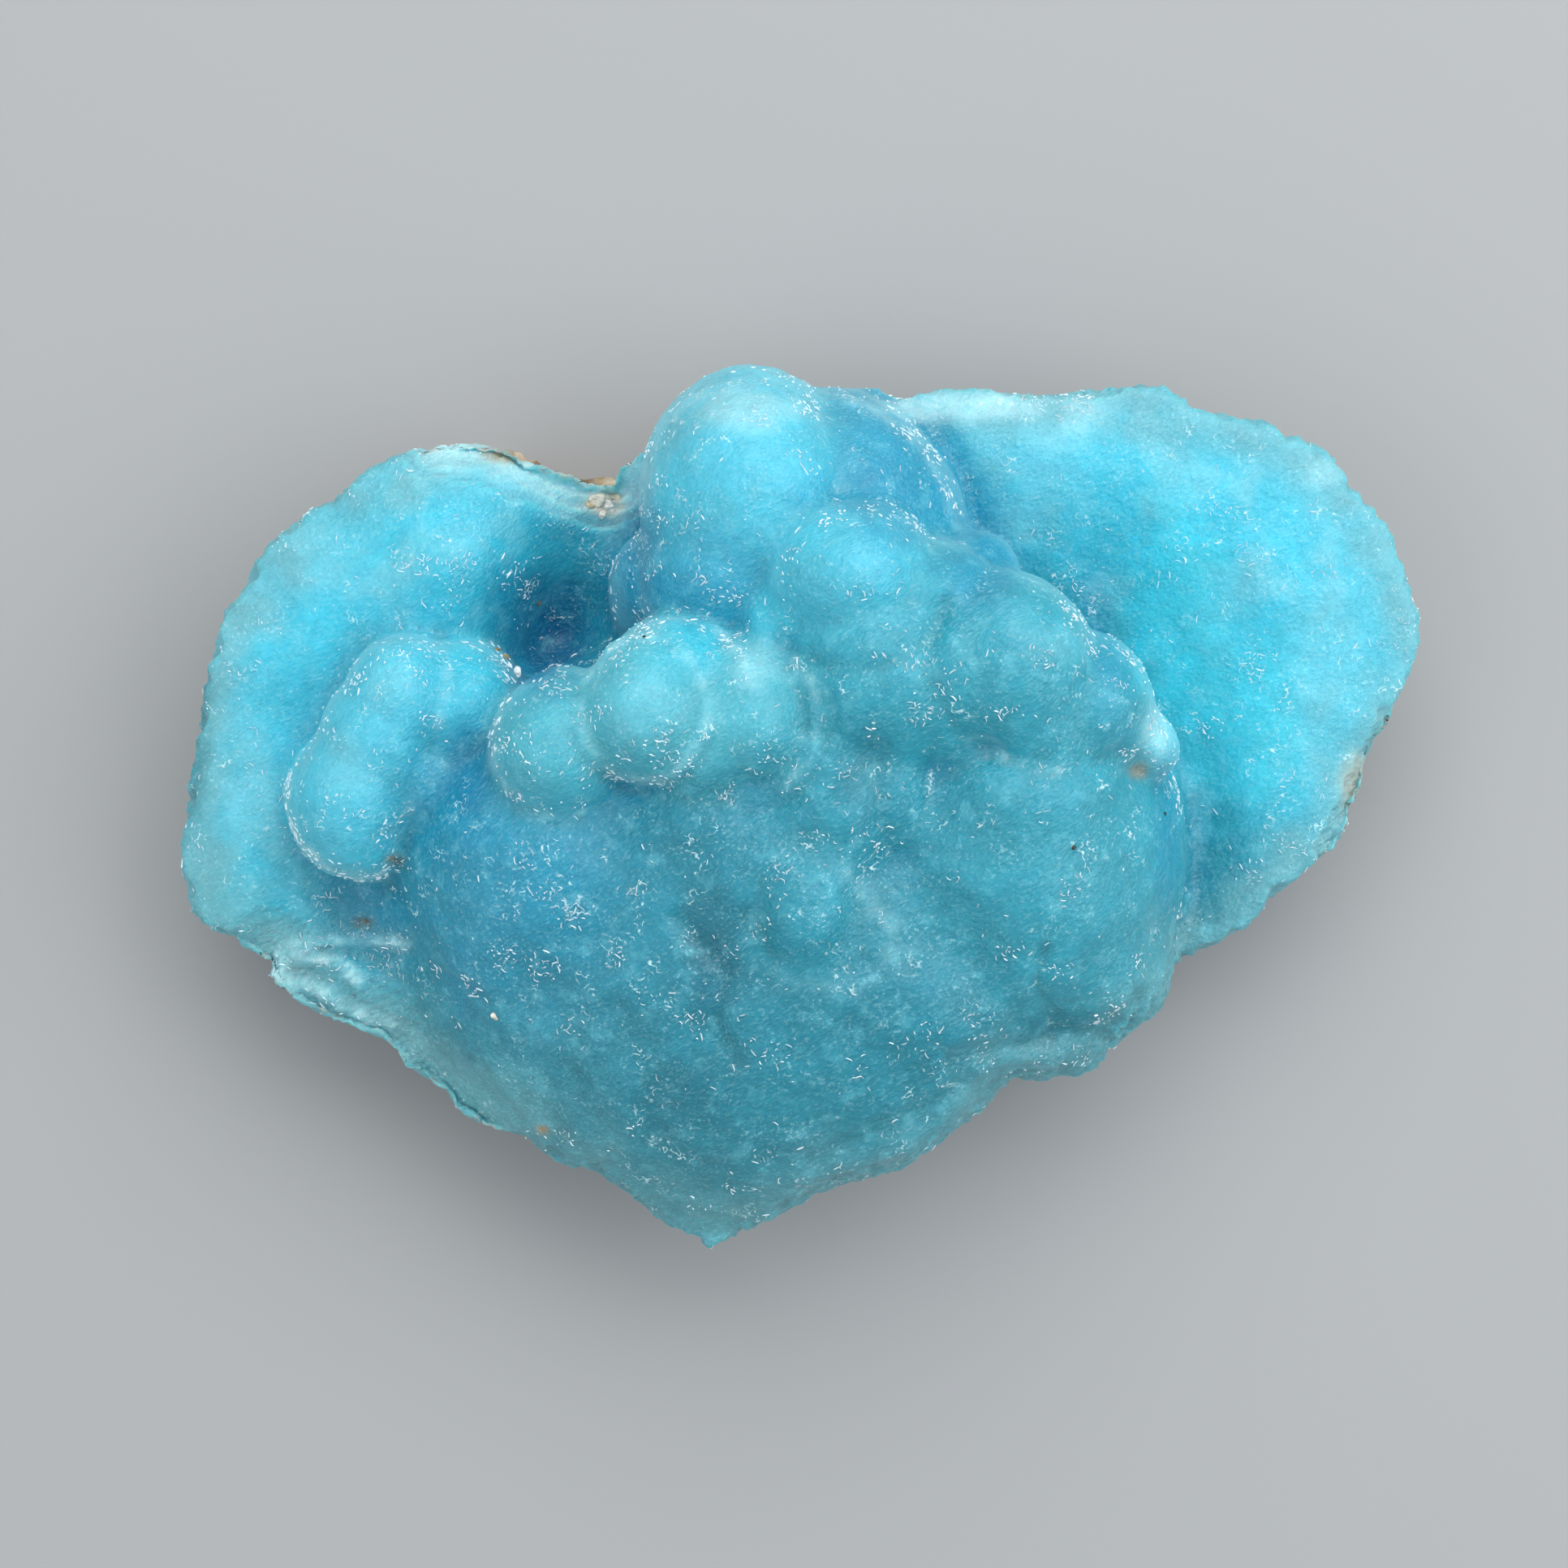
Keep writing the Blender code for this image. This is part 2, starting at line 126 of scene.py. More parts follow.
@dataclass(frozen=True)
class Lobe:
    """One rounded growth of the crust: an ellipsoid, with its sizes in millimetres."""

    centre: tuple[float, float, float]
    radii: tuple[float, float, float]
    turn: float = 0.0
    tone: Tone = Tone.TEAL

    def place(self) -> Matrix:
        """The transform from a unit ball to this lobe, in metres.

        Returns:
            The transform.
        """
        return (
            Matrix.Translation(Vector(self.centre) * MM)
            @ Matrix.Rotation(radians(self.turn), 4, "Z")
            @ Matrix.Diagonal((*(Vector(self.radii) * MM), 1.0))
        )

    def reach(self, points: np.ndarray) -> np.ndarray:
        """How far points lie from the lobe's centre, with 1 on its surface.

        Args:
            points: Places in millimetres, one a row.

        Returns:
            One number a point.
        """
        away = points - np.array(self.centre)
        turn = radians(self.turn)
        across = away[:, 0] * cos(turn) + away[:, 1] * sin(turn)
        along = away[:, 1] * cos(turn) - away[:, 0] * sin(turn)
        turned = np.stack([across, along, away[:, 2]], axis=1)
        return np.linalg.norm(turned / np.array(self.radii), axis=1)


@dataclass(frozen=True)
class Swell:
    """A rise of the crust's sheet, or a hollow where the height is negative, in millimetres."""

    centre: Point
    spread: Point
    height: float


# The front mass under the row of lobes. The broken rim cuts these off. A lobe toned SHADE carries
# painted shade.
FRONT_MASS: dict[str, Lobe] = {
    "dome": Lobe((-1.2, -7.1, 4.0), (23.9, 19.3, 15.8)),
    "shoulder": Lobe((-1.2, -0.8, 8.0), (18.3, 7.8, 11.2)),
    "left_bulge": Lobe((-14.1, -3.7, 7.0), (9.8, 11.4, 12.0), 10.0, Tone.SHADE),
    "centre_bulge": Lobe((-2.4, -3.2, 7.0), (7.9, 12.9, 13.6), -6.0),
    "right_bulge": Lobe((11.9, -2.7, 7.0), (10.7, 12.2, 13.8), 0.0, Tone.LIGHT_TEAL),
    "row_slope": Lobe((-4.5, 0.0, 12.0), (6.5, 7.0, 8.0)),
    "centre_slope": Lobe((2.5, 1.5, 13.0), (6.5, 7.5, 8.8), 0.0, Tone.LIGHT_TEAL),
    "right_slope": Lobe((12.4, 1.0, 12.4), (7.0, 6.8, 9.2), 0.0, Tone.LIGHT_TEAL),
    "dome_knob": Lobe((0.0, -5.3, 14.0), (4.4, 5.5, 7.8), 8.0, Tone.LIGHT_TEAL),
    "dome_middle": Lobe((6.3, -10.2, 10.0), (8.5, 7.8, 9.4)),
    "dome_right_bump": Lobe((16.6, -9.1, 8.0), (5.1, 5.1, 8.8), 0.0, Tone.LIGHT_TEAL),
    "dome_ledge": Lobe((13.7, -12.6, 5.0), (7.2, 4.3, 7.5), -12.0),
    "dome_low": Lobe((-4.1, -15.2, 6.0), (8.9, 5.7, 12.2)),
    "dome_foot": Lobe((-5.1, -19.8, 3.0), (9.2, 5.8, 10.0), 0.0, Tone.GREEN_TEAL),
    "dome_left_foot": Lobe((-16.7, -14.4, 3.0), (7.3, 5.8, 8.0), -35.0, Tone.GREEN_TEAL),
    "left_fold": Lobe((-25.0, -10.6, 8.2), (5.2, 2.0, 2.8), -24.0, Tone.BRIGHT),
    "left_apron": Lobe((-22.6, -5.5, 6.0), (5.0, 5.6, 5.0), 0.0, Tone.SHADE),
}

# The rounded lobes that stand free of the rim. A lobe toned SHADE carries painted shade.
LOBES: dict[str, Lobe] = {
    "left_fill": Lobe((-21.0, 1.8, 7.5), (4.8, 5.6, 8.4), -15.0, Tone.SHADE),
    "left_bean": Lobe((-25.2, 0.9, 12.0), (3.8, 5.0, 5.5), -14.0, Tone.BRIGHT),
    "left_middle": Lobe((-23.9, 3.6, 12.4), (3.7, 4.3, 5.4), -14.0, Tone.BRIGHT),
    "left_upper": Lobe((-22.6, 6.0, 12.5), (3.5, 4.0, 5.2), -10.0, Tone.BRIGHT),
    "left_lower": Lobe((-26.8, 0.6, 11.4), (2.7, 3.6, 4.6), 0.0, Tone.WING),
    "left_end": Lobe((-24.7, -2.0, 11.2), (2.5, 2.3, 4.4), 0.0, Tone.WING),
    "left_back": Lobe((-19.4, 5.4, 11.0), (4.0, 4.4, 5.6), 0.0, Tone.WING),
    "row_1": Lobe((-13.4, 3.4, 15.6), (4.0, 4.7, 5.8), -14.0, Tone.ROW),
    "row_2": Lobe((-8.5, 5.5, 17.4), (3.9, 4.3, 5.4), -10.0, Tone.ROW),
    "row_2_back": Lobe((-6.7, 7.1, 16.0), (4.6, 3.6, 5.2), 0.0, Tone.WING),
    "row_join": Lobe((-5.4, 4.3, 16.2), (4.6, 4.6, 5.9), 0.0, Tone.ROW),
    "row_3": Lobe((-2.6, 5.2, 16.2), (4.3, 4.8, 5.9), 0.0, Tone.ROW),
    "centre": Lobe((2.9, 12.8, 17.0), (4.9, 4.4, 6.6), 0.0, Tone.BRIGHT),
    "centre_left": Lobe((-0.9, 10.3, 15.8), (2.6, 2.6, 4.6), 0.0, Tone.WING),
    "centre_low": Lobe((4.5, 7.5, 15.8), (6.5, 6.7, 7.6), 0.0, Tone.LIGHT_TEAL),
    "centre_right": Lobe((7.3, 11.1, 15.4), (4.4, 4.1, 6.8), 0.0, Tone.LIGHT_TEAL),
    "right_join": Lobe((8.3, 7.4, 15.6), (5.2, 6.2, 7.6), 0.0, Tone.LIGHT_TEAL),
    "right": Lobe((11.6, 7.6, 16.6), (5.2, 5.8, 7.0), 10.0, Tone.LIGHT_TEAL),
    "right_low": Lobe((12.6, 4.6, 15.0), (5.0, 4.6, 7.0), 0.0, Tone.LIGHT_TEAL),
    "right_end": Lobe((15.9, 5.8, 14.8), (4.2, 4.4, 6.3), 30.0, Tone.LIGHT_TEAL),
    "right_tip": Lobe((19.6, 3.7, 13.6), (1.7, 2.3, 3.8), 25.0, Tone.PALE),
    "right_back": Lobe((9.6, 12.7, 12.6), (3.2, 3.1, 5.0), 0.0, Tone.SHADE),
    "top": Lobe((-2.7, 17.5, 11.0), (6.5, 7.8, 9.6), 0.0, Tone.BRIGHT),
    "top_low": Lobe((-4.0, 13.1, 10.6), (5.7, 5.2, 8.6), 0.0, Tone.SHADE),
    "top_right": Lobe((3.3, 16.4, 9.2), (6.3, 8.2, 8.8), 25.0, Tone.SHADE),
    "top_left_back": Lobe((-7.2, 12.6, 8.6), (3.9, 4.1, 6.4), 0.0, Tone.SHADE),
}

# The rises and hollows of the sheet between and around the lobes.
SWELLS: list[Swell] = [
    Swell((-14.4, 10.2), (2.0, 3.0), -4.6),
    Swell((-19.2, 13.4), (3.8, 4.4), 4.2),
    Swell((-28.0, 9.0), (4.0, 6.0), 1.4),
    Swell((-30.5, -4.0), (3.4, 4.5), 1.2),
    Swell((-12.0, 15.4), (3.0, 2.2), -1.2),
    Swell((14.6, 18.6), (4.4, 4.0), 1.5),
    Swell((18.6, 11.0), (2.2, 6.5), -1.0),
    Swell((21.4, -2.0), (2.0, 5.0), -1.2),
    Swell((26.0, 12.0), (4.0, 5.0), 0.9),
    Swell((27.5, 1.0), (3.0, 3.5), 0.7),
]


def smoothstep(low: float, high: float, values: np.ndarray) -> np.ndarray:
    """0 below low, 1 above high, and a smooth rise between them."""
    share = np.clip((values - low) / (high - low), 0.0, 1.0)
    return share * share * (3.0 - 2.0 * share)


def blend(first: np.ndarray, second: Colour | np.ndarray, share: np.ndarray) -> np.ndarray:
    """Mixes rows of colours.

    Args:
        first: The colours at a share of 0, one a row.
        second: The colour, or the colours, at a share of 1.
        share: One share a row.

    Returns:
        The mixed colours, one a row.
    """
    weight = np.clip(share, 0.0, 1.0)[:, None]
    return first * (1.0 - weight) + np.array(second) * weight


def cloud(points: np.ndarray, size: float, seed: float = 0.0) -> np.ndarray:
    """Smooth noise from about -1 to 1 at each of some points.

    Args:
        points: Places in millimetres, one a row.
        size: The size of the noise's lumps, in millimetres.
        seed: A shift that gives another pattern.

    Returns:
        One number a point.
    """
    moved = points / size + seed * np.array([1.0, 1.7, 2.3])
    return np.array([noise.noise(place) for place in moved.tolist()])


def clouds(points: np.ndarray, layers: Layers, ridged: bool = False) -> np.ndarray:
    """The sum of some noises.

    Args:
        points: Places in millimetres, one a row.
        layers: Each noise's strength, the size of its lumps in millimetres, and its seed.
        ridged: Whether each noise is folded at zero, which leaves sharp valleys.

    Returns:
        One number a point.
    """
    total = np.zeros(len(points))
    for strength, size, seed in layers:
        values = cloud(points, size, seed)
        total += strength * (np.abs(values) if ridged else values)
    return total


def faded(least: float, share: np.ndarray) -> np.ndarray:
    """A share that starts at a least one instead of 0."""
    return least + (1.0 - least) * share


def along_normals(vectors: np.ndarray, normals: np.ndarray) -> np.ndarray:
    """The part of each vector that lies along its normal."""
    return normals * np.einsum("ij,ij->i", vectors, normals)[:, None]


def nearest_reach(lobes: dict[str, Lobe], points: np.ndarray) -> np.ndarray:
    """How far points lie from the nearest of some lobes, with 1 on its surface."""
    return np.min([lobe.reach(points) for lobe in lobes.values()], axis=0)


@dataclass(frozen=True)
class MeshTool:
    """Short ways to make, join and change meshes."""

    collection: bpy.types.Collection

    def link(self, name: str, mesh: bpy.types.Mesh) -> bpy.types.Object:
        """Puts a mesh in a new object.

        Args:
            name: The object's and the mesh's name.
            mesh: The mesh.

        Returns:
            The object, in the scene.
        """
        obj = bpy.data.objects.new(name, mesh)
        self.collection.objects.link(obj)
        return obj

    def keep(self, name: str, bm: bmesh.types.BMesh) -> bpy.types.Object:
        """Puts a finished bmesh in a new object.

        Args:
            name: The object's name.
            bm: The bmesh, which is freed.

        Returns:
            The object, in the scene.
        """
        mesh = bpy.data.meshes.new(name)
        bm.to_mesh(mesh)
        bm.free()
        return self.link(name, mesh)

    def extrude(self, bm: bmesh.types.BMesh) -> list[bmesh.types.BMVert]:
        """Extrudes all the faces in place, and gives the new points."""
        made = bmesh.ops.extrude_face_region(bm, geom=list(bm.faces), use_keep_orig=True)
        return [item for item in made["geom"] if isinstance(item, bmesh.types.BMVert)]

    def settle(self, obj: bpy.types.Object) -> None:
        """Applies an object's modifiers for good.

        Args:
            obj: The object.
        """
        bpy.context.view_layer.update()
        graph = bpy.context.evaluated_depsgraph_get()
        mesh = bpy.data.meshes.new_from_object(obj.evaluated_get(graph))
        obj.modifiers.clear()
        obj.data = mesh

    def remove(self, *helpers: bpy.types.Object) -> None:
        """Takes helpers out of the scene."""
        for helper in helpers:
            bpy.data.objects.remove(helper)

    def voxels(self, obj: bpy.types.Object, size: float, rounds: int) -> None:
        """Fuses everything in a mesh into one closed surface and softens it.

        Args:
            obj: The object.
            size: The size of a voxel, in millimetres.
            rounds: How many rounds of smoothing follow.
        """
        remesh = obj.modifiers.new("fuse", "REMESH")
        remesh.mode = "VOXEL"
        remesh.voxel_size = size * MM
        smooth = obj.modifiers.new("soften", "SMOOTH")
        smooth.factor = 0.5
        smooth.iterations = rounds

    def lumps(self, obj: bpy.types.Object, size: float, height: float) -> None:
        """Pushes the surface in and out by a cloud texture, sizes in millimetres.

        Args:
            obj: The object.
            size: The width of the lumps.
            height: How far the surface moves.
        """
        texture = bpy.data.textures.new(obj.name + "_lumps", "CLOUDS")
        texture.noise_scale = size * MM
        texture.noise_depth = 1
        displace = obj.modifiers.new("lumps", "DISPLACE")
        displace.texture = texture
        displace.texture_coords = "LOCAL"
        displace.strength = height * MM
        displace.mid_level = 0.5

    def cut(self, obj: bpy.types.Object, cutter: bpy.types.Object, operation: str) -> None:
        """Cuts an object by a helper, or limits it to the helper, for good.

        Args:
            obj: The object to cut.
            cutter: The helper, which is removed.
            operation: The name of Blender's operation.
        """
        boolean = obj.modifiers.new(cutter.name, "BOOLEAN")
        boolean.object = cutter
        boolean.operation = operation
        boolean.solver = "MANIFOLD"
        self.settle(obj)
        self.remove(cutter)

    def sheet(
        self, name: str, bottom: Heights, top: Heights, step: float, size: Point
    ) -> bpy.types.Object:
        """A closed slab between two height functions.

        Args:
            name: The object's name.
            bottom: Gives the lower heights at some places, in millimetres.
            top: Gives the upper heights at some places, in millimetres.
            step: The grid's step, in millimetres.
            size: The slab's whole width and depth, in millimetres.

        Returns:
            The slab's object.
        """
        bm = bmesh.new()
        bmesh.ops.create_grid(
            bm,
            x_segments=round(size[0] / step),
            y_segments=round(size[1] / step),
            size=0.5,
            matrix=Matrix.Diagonal((size[0] * MM, size[1] * MM, 1.0, 1.0)),
        )
        lower = list(bm.verts)
        upper = self.extrude(bm)
        for verts, heights in ((lower, bottom), (upper, top)):
            places = np.array([vert.co[:2] for vert in verts]) / MM
            for vert, height in zip(verts, heights(places)):
                vert.co.z = height * MM
        bmesh.ops.recalc_face_normals(bm, faces=bm.faces)
        return self.keep(name, bm)

    def prism(self, name: str, outline: list[Point], span: Point) -> bpy.types.Object:
        """An upright prism.

        Args:
            name: The object's name.
            outline: The corners, in millimetres.
            span: The lower and the upper height, in millimetres.

        Returns:
            The prism's object.
        """
        bm = bmesh.new()
        corners = [bm.verts.new((x * MM, y * MM, span[0] * MM)) for x, y in outline]
        bm.faces.new(corners)
        upper = self.extrude(bm)
        bmesh.ops.translate(bm, verts=upper, vec=(0.0, 0.0, (span[1] - span[0]) * MM))
        bmesh.ops.recalc_face_normals(bm, faces=bm.faces)
        bmesh.ops.triangulate(bm, faces=bm.faces)
        return self.keep(name, bm)

    def add_lobes(self, mesh: bpy.types.Mesh, lobes: dict[str, Lobe]) -> None:
        """Adds an ellipsoid for each lobe to a mesh.

        Args:
            mesh: The mesh.
            lobes: The lobes by name.
        """
        bm = bmesh.new()
        bm.from_mesh(mesh)
        for lobe in lobes.values():
            bmesh.ops.create_icosphere(bm, subdivisions=5, radius=1.0, matrix=lobe.place())
        bm.to_mesh(mesh)
        bm.free()


@dataclass
class Surface:
    """A mesh's points as arrays in millimetres, for work on the whole surface at once."""

    mesh: bpy.types.Mesh
    points: np.ndarray = field(init=False)
    normals: np.ndarray = field(init=False)
    edges: np.ndarray = field(init=False)

    def __post_init__(self) -> None:
        """Reads the arrays."""
        self.read()

    def read(self) -> None:
        """Reads the mesh's points, normals and edges."""
        count = len(self.mesh.vertices)
        points = np.empty(count * 3, dtype=np.float32)
        self.mesh.vertices.foreach_get("co", points)
        self.points = points.reshape(-1, 3).astype(float) / MM
        normals = np.empty(count * 3, dtype=np.float32)
        self.mesh.vertex_normals.foreach_get("vector", normals)
        self.normals = normals.reshape(-1, 3).astype(float)
        edges = np.empty(len(self.mesh.edges) * 2, dtype=np.int32)
        self.mesh.edges.foreach_get("vertices", edges)
        self.edges = edges.reshape(-1, 2)

    def write(self) -> None:
        """Puts moved points back into the mesh, and reads the new normals."""
        self.mesh.vertices.foreach_set("co", (self.points * MM).astype(np.float32).ravel())
        self.mesh.update()
        self.read()

    def soften(self, values: np.ndarray, rounds: int) -> np.ndarray:
        """Averages values with those of the neighbours along the edges.

        Args:
            values: One number a point.
            rounds: How many times.

        Returns:
            The softened numbers.
        """
        first, second = self.edges[:, 0], self.edges[:, 1]
        count = np.maximum(np.bincount(self.edges.ravel(), minlength=len(values)), 1)
        for _ in range(rounds):
            total = np.bincount(first, values[second], len(values))
            total += np.bincount(second, values[first], len(values))
            values = 0.5 * values + 0.5 * total / count
        return values

    def bend(self, rounds: int) -> np.ndarray:
        """How far each point stands out of its smoothed surroundings, in millimetres."""
        smooth = np.stack([self.soften(self.points[:, i], rounds) for i in range(3)], axis=1)
        return np.einsum("ij,ij->i", self.points - smooth, self.normals)

    def paint(self, name: str, colours: np.ndarray) -> None:
        """Keeps a colour for each point.

        Args:
            name: The attribute's name.
            colours: One linear colour a point.
        """
        layer = self.mesh.attributes.new(name, "FLOAT_COLOR", "POINT")
        full = np.ones((len(colours), 4), dtype=np.float32)
        full[:, :3] = np.clip(colours, 0.0, 1.0)
        layer.data.foreach_set("color", full.ravel())


@dataclass(frozen=True)
class Outline:
    """A closed outline that says how far inside it places lie, in millimetres."""

    corners: list[Point]

    def depth(self, places: np.ndarray) -> np.ndarray:
        """How far inside the outline each place lies.

        Args:
            places: Places, of which the first two columns are read.

        Returns:
            One distance a place, negative outside the outline.
        """
        nearest = np.full(len(places), 1e9)
        inside = np.zeros(len(places), dtype=bool)
        x, y = places[:, 0], places[:, 1]
        for (x0, y0), (x1, y1) in zip(self.corners, self.corners[1:] + self.corners[:1]):
            if y0 != y1:
                crosses = (y0 > y) != (y1 > y)
                inside ^= crosses & (x < x0 + (y - y0) / (y1 - y0) * (x1 - x0))
            nearest = np.minimum(nearest, stretch_distance(places, (x0, y0), (x1, y1)))
        return np.where(inside, nearest, -nearest)


def stretch_distance(places: np.ndarray, start: Point, end: Point) -> np.ndarray:
    """The distance from places to a straight stretch, seen from above, in millimetres.

    Args:
        places: The points, in millimetres.
        start: Where the stretch begins.
        end: Where it ends.

    Returns:
        One distance a point.
    """
    along = np.array(end) - np.array(start)
    away = places[:, :2] - np.array(start)
    share = np.clip(away @ along / (along @ along), 0.0, 1.0)
    return np.linalg.norm(away - share[:, None] * along, axis=1)


def path_distance(places: np.ndarray, path: list[Point]) -> np.ndarray:
    """The distance from places to an open path, seen from above, in millimetres."""
    return np.min([stretch_distance(places, a, b) for a, b in zip(path, path[1:])], axis=0)


@dataclass(frozen=True)
class CrustForm:
    """The crust's coarse form: the heights of its sheet, front and back, in millimetres."""

    rim: Outline = field(default_factory=lambda: Outline(CRUST_RIM))
    half_width: float = 35.7
    half_height: float = 25.2
    rock_thickness: float = 3.0
    joint_gap: float = 0.3
    front_level: float = 8.2
    front_rim_rise: float = 2.8
    back_rim_rise: float = 4.9
    back_roughness: float = 0.45
    back_rough_size: float = 5.0
    thinnest: float = 1.2
    edge_level: float = 9.7
    shoulder_width: float = 9.0
    shoulder_height: float = 11.7
    rise_start: float = 0.5
    front_rise_end: float = 1.0
    back_rise_end: float = 1.05

    def rim_share(self, places: np.ndarray) -> np.ndarray:
        """How far out places lie, from 0 at the middle to 1 near the rim."""
        return np.hypot(places[:, 0] / self.half_width, places[:, 1] / self.half_height)

    def cap(self, places: np.ndarray) -> np.ndarray:
        """The highest that the sheet and its front mass reach, rounding off at the rim."""
        share = 1.0 - np.clip(self.rim.depth(places) / self.shoulder_width, 0.0, 1.0)
        return self.edge_level + self.shoulder_height * np.sqrt(1.0 - share * share)

    def front(self, places: np.ndarray) -> np.ndarray:
        """The front face of the sheet.

        Args:
            places: The points, in millimetres.

        Returns:
            One height a point, in millimetres.
        """
        share = smoothstep(self.rise_start, self.front_rise_end, self.rim_share(places))
        height = self.front_level + self.front_rim_rise * share
        for swell in SWELLS:
            across = (places[:, 0] - swell.centre[0]) / swell.spread[0]
            along = (places[:, 1] - swell.centre[1]) / swell.spread[1]
            height += swell.height * np.exp(-0.5 * (across * across + along * along))
        return np.maximum(height, self.back(places) + self.thinnest)

    def back(self, places: np.ndarray) -> np.ndarray:
        """The back of the crust, where it grew on the rock.

        Args:
            places: The points, in millimetres.

        Returns:
            One height a point, in millimetres.
        """
        share = smoothstep(self.rise_start, self.back_rise_end, self.rim_share(places))
        flat = np.column_stack([places[:, :2], np.zeros(len(places))])
        rough = self.back_roughness * cloud(flat, self.back_rough_size)
        return self.rock_thickness + self.joint_gap + self.back_rim_rise * share + rough

    def under_crust(self, places: np.ndarray) -> np.ndarray:
        """The crust's back less the gap that the rock keeps to it."""
        return self.back(places) - self.joint_gap


def level(height: float) -> Heights:
    """A height function with the same height everywhere."""
    return lambda places: np.full(len(places), height)


@dataclass(frozen=True)
class StainAndPaintedLight:
    """A patch of another tone, fading out from its centre, in millimetres. Some are real stains of
    the crust, and some are painted light and shade.
    """

    centre: Point
    spread: Point
    tone: Tone
    strength: float = 1.0


